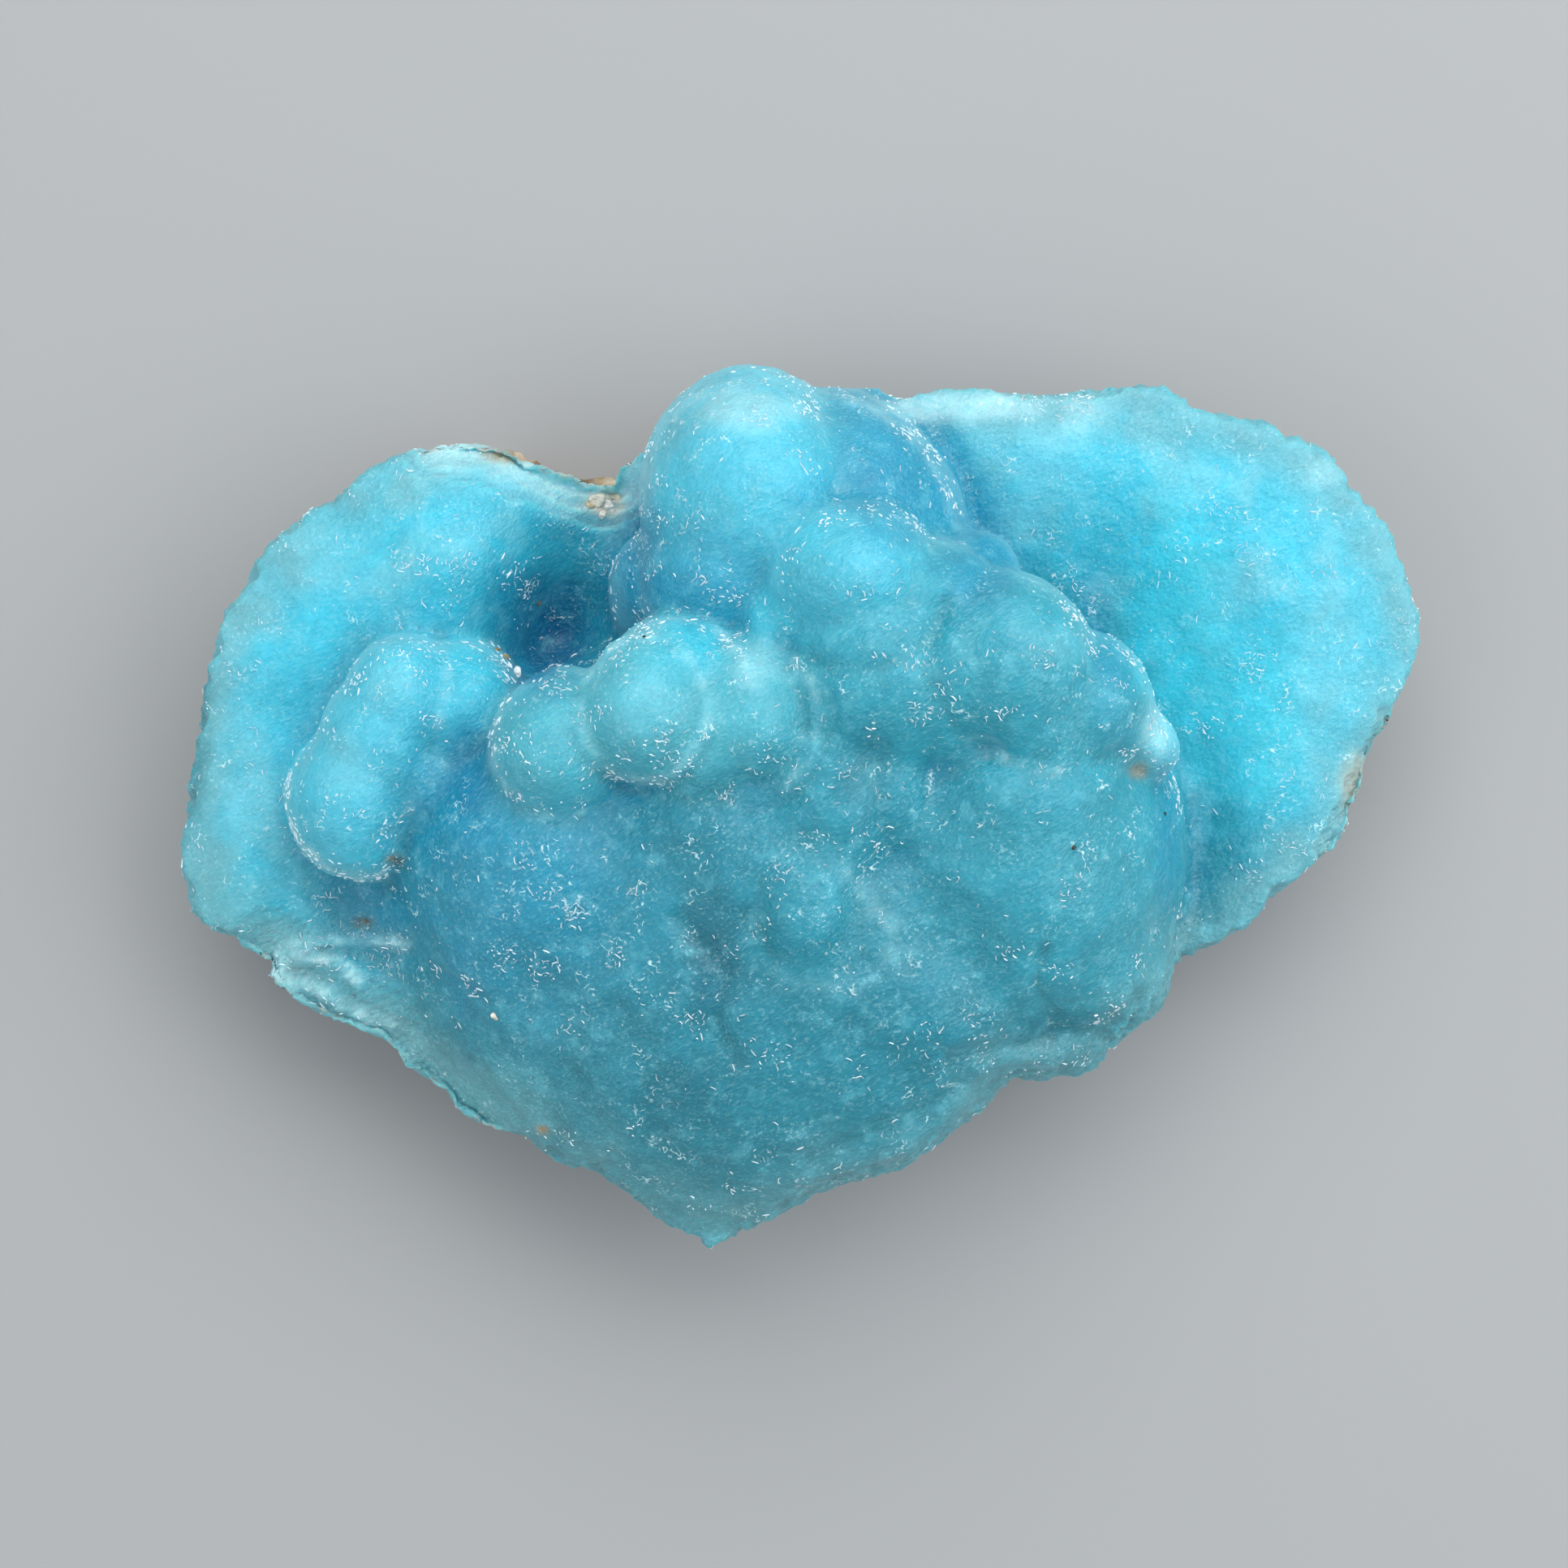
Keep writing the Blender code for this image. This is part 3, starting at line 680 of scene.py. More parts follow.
# Patches that the crust's own form doesn't explain: real stains of rock and colour, and painted
# light and shade.
STAINS_AND_PAINTED_LIGHT: list[StainAndPaintedLight] = [
    # Painted shade in the deep hollow, the creases and the valleys beside the lobes.
    StainAndPaintedLight((-14.6, 9.6), (2.1, 3.4), Tone.HOLLOW_SHADE, 1.0),
    StainAndPaintedLight((-16.6, 11.6), (1.6, 2.2), Tone.SHADE, 0.7),
    StainAndPaintedLight((-9.0, 14.5), (1.2, 3.2), Tone.HOLLOW_SHADE, 0.5),
    StainAndPaintedLight((10.5, 15.6), (1.6, 2.6), Tone.SHADE, 0.35),
    StainAndPaintedLight((17.2, 9.6), (1.2, 5.0), Tone.SHADE, 0.5),
    StainAndPaintedLight((9.8, 12.9), (2.2, 2.2), Tone.SHADE, 0.7),
    StainAndPaintedLight((20.9, -1.2), (1.0, 4.5), Tone.SHADE, 0.6),
    # A painted glow of light on the right wing.
    StainAndPaintedLight((21.6, 11.5), (2.8, 6.0), Tone.GLOW, 0.85),
    StainAndPaintedLight((25.4, 5.0), (4.0, 5.5), Tone.GLOW, 0.65),
    # Painted shade in the dome's darker valleys and grooves.
    StainAndPaintedLight((-5.0, -8.6), (2.0, 3.4), Tone.TEAL_SHADE, 1.0),
    StainAndPaintedLight((-7.0, -16.0), (3.2, 2.4), Tone.TEAL_SHADE, 0.5),
    StainAndPaintedLight((14.4, -12.3), (3.2, 0.9), Tone.TEAL_SHADE, 0.6),
    StainAndPaintedLight((3.6, 1.4), (1.8, 3.0), Tone.TEAL_SHADE, 0.4),
    # Cream rock at the notch.
    StainAndPaintedLight((-11.3, 17.6), (1.0, 0.8), Tone.CREAM, 0.9),
    # Painted shade between the top lobes, and a painted shadow beside the left bean.
    StainAndPaintedLight((2.9, 17.3), (3.2, 1.3), Tone.SHADE, 0.5),
    StainAndPaintedLight((-18.5, 2.0), (1.5, 3.2), Tone.HOLLOW_SHADE, 0.5),
    # Paler patches on the row and by the right tip, and a tan speck.
    StainAndPaintedLight((-2.5, 7.7), (1.4, 1.2), Tone.FROST_AND_HIGHLIGHT, 0.35),
    StainAndPaintedLight((-8.6, 5.6), (1.8, 1.9), Tone.PALE, 0.45),
    StainAndPaintedLight((19.8, 4.3), (1.1, 1.7), Tone.FROST_AND_HIGHLIGHT, 0.45),
    StainAndPaintedLight((19.0, 2.0), (0.6, 0.5), Tone.TAN, 0.6),
    # Paler along the top rim: partly frost, partly a painted glow of light through the thin edge.
    StainAndPaintedLight((-3.2, 22.2), (3.0, 1.4), Tone.FROST_AND_HIGHLIGHT, 0.45),
    StainAndPaintedLight((15.9, 22.4), (1.3, 1.1), Tone.FROST_AND_HIGHLIGHT, 0.3),
    StainAndPaintedLight((30.1, 19.3), (1.2, 0.9), Tone.FROST_AND_HIGHLIGHT, 0.3),
    # A painted glow of light through the right wing, paler towards its thin edge.
    StainAndPaintedLight((13.6, 19.0), (2.4, 3.6), Tone.PALE, 0.6),
    StainAndPaintedLight((30.5, 8.0), (2.6, 5.0), Tone.PALE, 0.5),
    # A painted highlight band across the right lobes.
    StainAndPaintedLight((11.4, 10.4), (1.6, 1.0), Tone.PALE, 0.18),
    StainAndPaintedLight((14.0, 9.0), (1.7, 1.1), Tone.PALE, 0.40),
    # Painted highlights on the left bean's lobes and on the left wing's swells.
    StainAndPaintedLight((-23.0, 7.0), (1.3, 1.3), Tone.PALE, 0.5),
    StainAndPaintedLight((-25.4, 2.4), (1.5, 1.8), Tone.PALE, 0.55),
    StainAndPaintedLight((-26.5, 14.0), (3.0, 2.0), Tone.PALE, 0.4),
    StainAndPaintedLight((-19.5, 14.6), (1.8, 1.4), Tone.PALE, 0.45),
    # Cream and tan rock at the right edge, a greyer left rim, tan rock at the top left, and mint
    # patches.
    StainAndPaintedLight((31.9, 1.2), (0.9, 2.2), Tone.CREAM, 0.25),
    StainAndPaintedLight((32.2, 1.0), (0.9, 1.8), Tone.TAN, 0.5),
    StainAndPaintedLight((-34.9, 3.8), (1.2, 4.5), Tone.GREEN_TEAL, 0.75),
    StainAndPaintedLight((-17.1, 20.2), (1.2, 0.5), Tone.TAN, 0.9),
    StainAndPaintedLight((-17.2, -16.7), (2.8, 2.1), Tone.MINT, 0.7),
    StainAndPaintedLight((-33.4, -5.6), (2.6, 2.6), Tone.MINT, 0.5),
    # Paler along the top rim: partly frost, partly a painted glow of light through the thin edge.
    StainAndPaintedLight((9.5, 23.0), (4.5, 0.9), Tone.FROST_AND_HIGHLIGHT, 0.8),
    # Painted shade on the top right lobe and at the foot of the left bean.
    StainAndPaintedLight((5.2, 16.3), (2.4, 2.8), Tone.SHADE, 0.6),
    StainAndPaintedLight((-22.6, -6.2), (2.4, 1.0), Tone.SHADE, 0.6),
    StainAndPaintedLight((-19.0, -9.4), (1.4, 2.4), Tone.SHADE, 0.5),
    # Brown and tan specks, and a mint patch at the foot.
    StainAndPaintedLight((-23.0, -3.0), (0.5, 0.4), Tone.BROWN, 0.7),
    StainAndPaintedLight((-25.2, -6.7), (0.7, 0.4), Tone.BROWN, 0.6),
    StainAndPaintedLight((-14.7, -18.4), (0.4, 0.3), Tone.TAN, 0.9),
    StainAndPaintedLight((-4.5, -23.8), (2.0, 1.6), Tone.MINT, 0.5),
]


@dataclass(frozen=True)
class Ledge:
    """A stretch of the rim where the crust broke in steps, in millimetres."""

    path: list[Point]
    width: float
    drop: float
    steps: int
    tone: Tone


# The layered break at the top left and the shelly one at the lower left.
LEDGES: list[Ledge] = [
    Ledge([(-20.5, 20.9), (-18.0, 20.9), (-15.2, 19.6), (-12.3, 18.5), (-10.6, 18.6)],
          2.6, 1.5, 3, Tone.FROST_AND_HIGHLIGHT),
    Ledge([(-30.6, -8.8), (-27.8, -11.9), (-23.5, -13.6), (-20.9, -16.0), (-18.7, -18.3)],
          3.2, 1.3, 5, Tone.RIM),
    Ledge([(30.4, -2.8), (32.5, 1.6), (34.0, 5.0)], 1.0, 0.8, 2, Tone.RIM),
]


@dataclass(frozen=True)
class Wiring:
    """Short ways to add and join the nodes of one shader tree."""

    tree: bpy.types.NodeTree

    def add(self, kind: str, **values: float | tuple | str) -> bpy.types.Node:
        """Adds a node and sets its inputs by name.

        Args:
            kind: The node's type, less its ShaderNode prefix.
            values: Input values, with underscores for the spaces in their names.

        Returns:
            The node.
        """
        node = self.tree.nodes.new("ShaderNode" + kind)
        for name, value in values.items():
            node.inputs[name.replace("_", " ")].default_value = value
        return node

    def join(self, source: bpy.types.NodeSocket, target: bpy.types.NodeSocket) -> None:
        """Joins an output to an input."""
        self.tree.links.new(source, target)

    def noise(self, size: float, detail: float = 2.0, stretch: Vector | None = None,
              turn: float = 0.0) -> bpy.types.NodeSocket:
        """Noise over Object coordinates.

        Args:
            size: The size of its lumps, in millimetres.
            detail: How many finer layers it has.
            stretch: How many times longer its lumps are along each axis.
            turn: Its turn about Z, in degrees.

        Returns:
            The noise's value.
        """
        place = self.add("TexCoord").outputs["Object"]
        if stretch is not None:
            mapping = self.add("Mapping")
            mapping.vector_type = "TEXTURE"
            mapping.inputs["Rotation"].default_value = (0.0, 0.0, radians(turn))
            mapping.inputs["Scale"].default_value = stretch
            self.join(place, mapping.inputs["Vector"])
            place = mapping.outputs["Vector"]
        node = self.add("TexNoise", Scale=1.0 / (size * MM), Detail=detail)
        self.join(place, node.inputs["Vector"])
        return node.outputs["Fac"]

    def ramp(self, value: bpy.types.NodeSocket, low: float, high: float,
             start: float = 0.0, end: float = 1.0) -> bpy.types.NodeSocket:
        """Maps a value's range to another, smoothly.

        Args:
            value: The value.
            low: Where its range begins.
            high: Where its range ends.
            start: What the low end becomes.
            end: What the high end becomes.

        Returns:
            The mapped value.
        """
        node = self.add("MapRange", From_Min=low, From_Max=high, To_Min=start, To_Max=end)
        node.interpolation_type = "SMOOTHSTEP"
        self.join(value, node.inputs["Value"])
        return node.outputs["Result"]

    def product(self, first: bpy.types.NodeSocket,
                second: bpy.types.NodeSocket) -> bpy.types.NodeSocket:
        """Multiplies two values.

        Args:
            first: One value.
            second: The other.

        Returns:
            The product.
        """
        node = self.add("Math")
        node.operation = "MULTIPLY"
        self.join(first, node.inputs[0])
        self.join(second, node.inputs[1])
        return node.outputs[0]

    def mix(self, first: bpy.types.NodeSocket, second: Colour,
            share: bpy.types.NodeSocket) -> bpy.types.NodeSocket:
        """Mixes a colour into another.

        Args:
            first: The colour at a share of 0.
            second: The colour at a share of 1.
            share: The share.

        Returns:
            The mixed colour.
        """
        node = self.tree.nodes.new("ShaderNodeMix")
        node.data_type = "RGBA"
        self.join(first, node.inputs[6])
        node.inputs[7].default_value = (*second, 1.0)
        self.join(share, node.inputs[0])
        return node.outputs[2]


def mottle_group() -> bpy.types.ShaderNodeTree:
    """The group that every finish shares: a colour clouded by soft lumps of noise.

    Returns:
        The group, with the inputs Colour, Scale and Strength and the output Colour.
    """
    found = bpy.data.node_groups.get("mottle")
    if found is not None:
        return found
    group = bpy.data.node_groups.new("mottle", "ShaderNodeTree")
    face = group.interface
    face.new_socket(name="Colour", in_out="INPUT", socket_type="NodeSocketColor")
    face.new_socket(name="Scale", in_out="INPUT", socket_type="NodeSocketFloat")
    face.new_socket(name="Strength", in_out="INPUT", socket_type="NodeSocketFloat")
    face.new_socket(name="Colour", in_out="OUTPUT", socket_type="NodeSocketColor")
    wires = Wiring(group)
    given = group.nodes.new("NodeGroupInput")
    result = group.nodes.new("NodeGroupOutput")
    texture = wires.add("TexNoise", Detail=4.0, Roughness=0.55)
    wires.join(wires.add("TexCoord").outputs["Object"], texture.inputs["Vector"])
    wires.join(given.outputs["Scale"], texture.inputs["Scale"])
    swing = wires.add("MapRange", From_Min=0.28, From_Max=0.72, To_Min=-1.0, To_Max=1.0)
    wires.join(texture.outputs["Fac"], swing.inputs["Value"])
    strength = wires.add("Math")
    strength.operation = "MULTIPLY_ADD"
    wires.join(swing.outputs["Result"], strength.inputs[0])
    wires.join(given.outputs["Strength"], strength.inputs[1])
    strength.inputs[2].default_value = 1.0
    scaled = wires.add("VectorMath")
    scaled.operation = "SCALE"
    wires.join(given.outputs["Colour"], scaled.inputs[0])
    wires.join(strength.outputs[0], scaled.inputs["Scale"])
    wires.join(scaled.outputs["Vector"], result.inputs["Colour"])
    return group


@dataclass(frozen=True)
class Finish:
    """What the finishes share: a material with one Principled shader and mottled colour."""

    name: str
    roughness: float

    def start(self) -> tuple[bpy.types.Material, Wiring, bpy.types.Node]:
        """A new material, its wiring and its shader.

        Returns:
            The three of them.
        """
        material = bpy.data.materials.new(self.name)
        material.use_nodes = True
        shader = material.node_tree.nodes["Principled BSDF"]
        shader.inputs["Roughness"].default_value = self.roughness
        shader.inputs["IOR"].default_value = MINERAL_IOR
        return material, Wiring(material.node_tree), shader

    def mottled(self, wires: Wiring, colour: bpy.types.NodeSocket, size: float,
                strength: float) -> bpy.types.NodeSocket:
        """Clouds a colour with lumps of a size in millimetres.

        Args:
            wires: The material's wiring.
            colour: The colour.
            size: The lumps' size.
            strength: How far the colour swings, as a share.

        Returns:
            The clouded colour.
        """
        node = wires.tree.nodes.new("ShaderNodeGroup")
        node.node_tree = mottle_group()
        wires.join(colour, node.inputs["Colour"])
        node.inputs["Scale"].default_value = 1.0 / (size * MM)
        node.inputs["Strength"].default_value = strength
        return node.outputs["Colour"]

    def grown_colour(self, wires: Wiring) -> bpy.types.NodeSocket:
        """The colour that the piece's own points carry.

        Args:
            wires: The material's wiring.

        Returns:
            The colour.
        """
        node = wires.tree.nodes.new("ShaderNodeAttribute")
        node.attribute_name = "grown_colour"
        return node.outputs["Color"]

    def relief(self, wires: Wiring, shader: bpy.types.Node,
               layers: list[tuple[bpy.types.NodeSocket, float]]) -> None:
        """Stacks bumps on a shader.

        Args:
            wires: The material's wiring.
            shader: The shader.
            layers: Each bump's value and its height in millimetres.
        """
        below = None
        for value, height in layers:
            bump = wires.add("Bump", Strength=1.0, Distance=height * MM)
            wires.join(value, bump.inputs["Height"])
            if below is not None:
                wires.join(below, bump.inputs["Normal"])
            below = bump.outputs["Normal"]
        wires.join(below, shader.inputs["Normal"])


@dataclass(frozen=True)
class FrostedBlue(Finish):
    """The crust's skin: translucent, frosted and finely rippled, with painted glints and the
    painted light and shade of its ripple.
    """

    name: str = "frosted_blue"
    roughness: float = 0.42
    roughness_band: Band = (0.34, 0.52)
    scattering: float = 0.80
    scatter_colours: Colour = (0.20, 0.80, 1.0)
    scatter_depth: float = 1.8
    specular: float = 0.40
    sheen: float = 0.10
    sheen_roughness: float = 0.35
    sheen_tint: Colour = (0.55, 0.90, 1.0)

    def curls(self, wires: Wiring) -> bpy.types.NodeSocket:
        """Short curled lines of crystals, which come in patches. Their white is painted glints.

        Args:
            wires: The material's wiring.

        Returns:
            The share of white.
        """
        curl = wires.noise(0.55, 1.5)
        lines = wires.product(wires.ramp(curl, 0.455, 0.50), wires.ramp(curl, 0.545, 0.50))
        lines = wires.product(lines, wires.ramp(wires.noise(1.6, 2.0), 0.56, 0.64))
        lines = wires.product(lines, wires.ramp(wires.noise(0.3, 1.0), 0.42, 0.58))
        return wires.product(lines, wires.ramp(wires.noise(7.0, 1.0), 0.40, 0.56, 0.15, 1.0))

    def make(self) -> bpy.types.Material:
        """Makes the material.

        Returns:
            The material.
        """
        material, wires, shader = self.start()
        colour = self.mottled(wires, self.grown_colour(wires), 2.6, 0.10)
        colour = self.mottled(wires, colour, 0.7, 0.06)
        brush = wires.noise(0.15, 2.0, Vector((2.2, 1.0, 1.0)), 35.0)
        # The brushed ripple, paler and darker in colour: partly grain, partly its painted light
        # and shade.
        colour = wires.mix(colour, Tone.FROST_AND_HIGHLIGHT.value, wires.ramp(brush, 0.53, 0.72, 0.0, 0.15))
        colour = wires.mix(colour, Tone.HOLLOW_SHADE.value, wires.ramp(brush, 0.48, 0.32, 0.0, 0.10))
        veil = wires.ramp(wires.noise(1.1, 4.0), 0.52, 0.74, 0.0, 0.32)
        colour = wires.mix(colour, Tone.PALE.value, veil)
        # Fine pale specks in patches: partly grain, partly painted sparkle.
        grain = wires.ramp(wires.noise(0.22, 1.0), 0.60, 0.72, 0.0, 0.35)
        patches = wires.ramp(wires.noise(2.2, 2.0), 0.42, 0.62)
        colour = wires.mix(colour, Tone.FROST_AND_HIGHLIGHT.value, wires.product(grain, patches))
        # Curled white lines of painted glints, which also bump the surface.
        lines = self.curls(wires)
        colour = wires.mix(colour, Tone.SPARK.value, lines)
        wires.join(colour, shader.inputs["Base Color"])
        rough = wires.ramp(wires.noise(0.5, 3.0), 0.35, 0.65, *self.roughness_band)
        wires.join(rough, shader.inputs["Roughness"])
        self.relief(wires, shader, [
            (wires.noise(0.9, 3.0), 0.12),
            (wires.noise(0.3, 2.0), 0.085),
            (brush, 0.080),
            (lines, 0.04),
        ])
        shader.inputs["Subsurface Weight"].default_value = self.scattering
        shader.inputs["Subsurface Radius"].default_value = self.scatter_colours
        shader.inputs["Subsurface Scale"].default_value = self.scatter_depth * MM
        shader.inputs["Specular IOR Level"].default_value = self.specular
        shader.inputs["Sheen Weight"].default_value = self.sheen
        shader.inputs["Sheen Roughness"].default_value = self.sheen_roughness
        shader.inputs["Sheen Tint"].default_value = (*self.sheen_tint, 1.0)
        return material


@dataclass(frozen=True)
class CrystalAndGlint(Finish):
    """The tiny crystal edges that stand out of the skin, whitened as painted glints."""

    name: str = "crystal_and_glint"
    roughness: float = 0.25

    def make(self) -> bpy.types.Material:
        """Makes the material.

        Returns:
            The material.
        """
        material, wires, shader = self.start()
        colour = self.mottled(wires, self.grown_colour(wires), 0.6, 0.08)
        wires.join(colour, shader.inputs["Base Color"])
        return material


@dataclass(frozen=True)
class RoughRock(Finish):
    """The rock on the back: granular, tan, with brown and rusty patches."""

    name: str = "rough_rock"
    roughness: float = 0.9

    def make(self) -> bpy.types.Material:
        """Makes the material.

        Returns:
            The material.
        """
        material, wires, shader = self.start()
        colour = self.mottled(wires, self.grown_colour(wires), 1.6, 0.22)
        colour = self.mottled(wires, colour, 0.3, 0.20)
        wires.join(colour, shader.inputs["Base Color"])
        self.relief(wires, shader, [
            (wires.noise(0.8, 4.0), 0.25),
            (wires.noise(0.2, 2.0), 0.08),
        ])
        return material


@dataclass(frozen=True)
class Fold:
    """A ridge, or a groove where the height is negative, along a path, in millimetres.

    Its frost is how far it is whitened, from 0 to 1: by fine crystals, and along the lobes'
    outlines also by painted glints and sheen.
    """

    path: list[Point]
    width: float
    height: float
    frost_and_glint: float = 0.0

    def hold(self, points: np.ndarray, wander: np.ndarray) -> np.ndarray:
        """How far the fold reaches each point, from 0 to 1 on its path.

        Args:
            points: Places in millimetres, one a row.
            wander: How far the path strays at each of them.

        Returns:
            One share a point.
        """
        away = path_distance(points, self.path) + wander
        return np.exp(-((away / self.width) ** 2))


def arc(centre: Point, radii: Point, start: float, end: float) -> list[Point]:
    """A part of an ellipse, from one angle to another in degrees."""
    angles = [radians(start + (end - start) * step / 16) for step in range(17)]
    return [(centre[0] + radii[0] * cos(a), centre[1] + radii[1] * sin(a)) for a in angles]


# The folds of the front that are finer than its lobes. The frost of the rings and lines round the
# lobes is partly painted glints and sheen.
FOLDS: list[Fold] = [
    Fold([(3.9, 2.9), (4.4, 0.4), (5.1, -2.5)], 1.1, -0.55),
    Fold([(-6.8, -6.1), (-3.9, -9.2), (-4.5, -12.0), (-3.6, -14.2)], 0.55, -0.40),
    Fold([(-2.3, -4.3), (-2.8, -6.1), (-1.8, -7.9)], 0.7, -0.30),
    Fold([(1.6, -2.4), (2.5, -3.7), (5.0, -6.6), (4.9, -8.8), (2.6, -10.2), (-1.0, -9.4)],
         0.6, 0.10, 0.10),
    Fold([(8.6, -14.2), (12.0, -13.6), (15.0, -13.1), (17.2, -12.8), (19.2, -11.0)], 0.6, -0.50),
    Fold([(13.6, -8.0), (13.2, -9.9), (14.2, -11.6)], 0.5, -0.35),
    Fold([(0.9, -19.8), (5.6, -17.8), (9.6, -15.4)], 0.7, -0.45),
    Fold([(10.2, 3.0), (12.6, 1.9), (15.0, 1.9), (17.6, 3.0)], 0.6, -0.25),
    Fold([(-16.0, -9.0), (-13.6, -12.4), (-12.6, -15.6)], 1.3, -0.35),
    Fold([(-10.4, -11.5), (-8.6, -15.0), (-7.8, -18.6)], 1.2, -0.30),
    Fold([(7.4, -5.0), (9.4, -7.4), (9.8, -10.4)], 1.3, -0.30),
    Fold([(-30.2, -8.8), (-28.6, -8.1), (-26.7, -7.7), (-24.7, -7.7), (-22.7, -7.9)],
         0.35, 0.22, 0.5),
    Fold([(-30.0, -9.2), (-28.3, -8.8), (-26.7, -9.0), (-25.5, -10.0)], 0.35, 0.20, 0.5),
    Fold([(-30.2, -9.7), (-29.2, -10.2), (-27.8, -10.7), (-26.4, -11.6), (-24.7, -12.3),
          (-23.8, -12.7)], 0.35, 0.22, 0.5),
    Fold([(-29.2, -9.5), (-27.8, -9.7), (-26.4, -10.5), (-25.6, -11.4)], 0.35, -0.35),
    Fold([(-29.4, -8.5), (-27.4, -8.2), (-25.6, -8.4), (-24.2, -9.0)], 0.30, -0.25),
    # Rings round the row's lobes, frosted partly by crystals and partly by painted glints and
    # sheen.
    Fold(arc((-8.6, 5.4), (3.5, 4.0), 0.0, 360.0), 0.26, 0.08, 0.18),
    Fold(arc((-7.0, 6.6), (4.2, 3.8), 20.0, 160.0), 0.26, 0.08, 0.22),
    Fold(arc((-13.3, 3.7), (3.8, 4.2), 150.0, 290.0), 0.26, 0.05, 0.20),
    Fold(arc((-2.7, 4.8), (3.7, 4.4), -60.0, 50.0), 0.30, 0.06, 0.20),
    # Lines along the outlines of lobes and bulges, frosted partly by crystals and partly by
    # painted glints.
    Fold([(2.6, 23.0), (5.6, 21.6), (8.0, 18.6), (9.4, 14.4)], 0.30, 0.06, 0.12),
    Fold([(9.4, 3.6), (10.6, 3.0), (12.4, 2.2), (14.0, 2.1)], 0.28, 0.05, 0.25),
    Fold([(-20.4, 9.2), (-20.0, 8.6), (-19.7, 6.7), (-20.4, 4.5)], 0.26, 0.04, 0.15),
    Fold([(-29.4, 2.0), (-29.2, -0.2), (-28.2, -2.1), (-26.8, -3.4), (-25.3, -4.1), (-23.9, -3.8)],
         0.28, 0.06, 0.35),
    Fold([(-17.7, 4.1), (-20.2, 2.2), (-22.2, -0.3), (-23.2, -3.0)], 0.30, 0.03, 0.07),
    Fold(arc((2.9, 12.4), (5.0, 4.9), 195.0, 345.0), 0.6, -0.32),
    Fold(arc((12.0, 8.0), (4.9, 5.4), 140.0, 285.0), 0.6, -0.30),
    Fold(arc((-2.7, 4.8), (4.2, 5.0), 270.0, 400.0), 0.5, -0.25),
    Fold(arc((-8.6, 5.4), (4.1, 4.6), 200.0, 330.0), 0.45, -0.22),
]


@dataclass(frozen=True)
class Shading:
    """A tone that comes with how far the surface stands out of its surroundings: painted shade in
    the creases and painted highlights on the crests.
    """

    tone: Tone
    share: float
    band: Band


# Painted shade makes the creases deeper in colour, and painted highlights make the crests paler.
SHADINGS: list[Shading] = [
    Shading(Tone.SHADE, 0.55, (-0.25, -0.9)),
    Shading(Tone.HOLLOW_SHADE, 0.85, (-0.8, -2.0)),
    Shading(Tone.PALE, 0.35, (0.5, 1.6)),
]


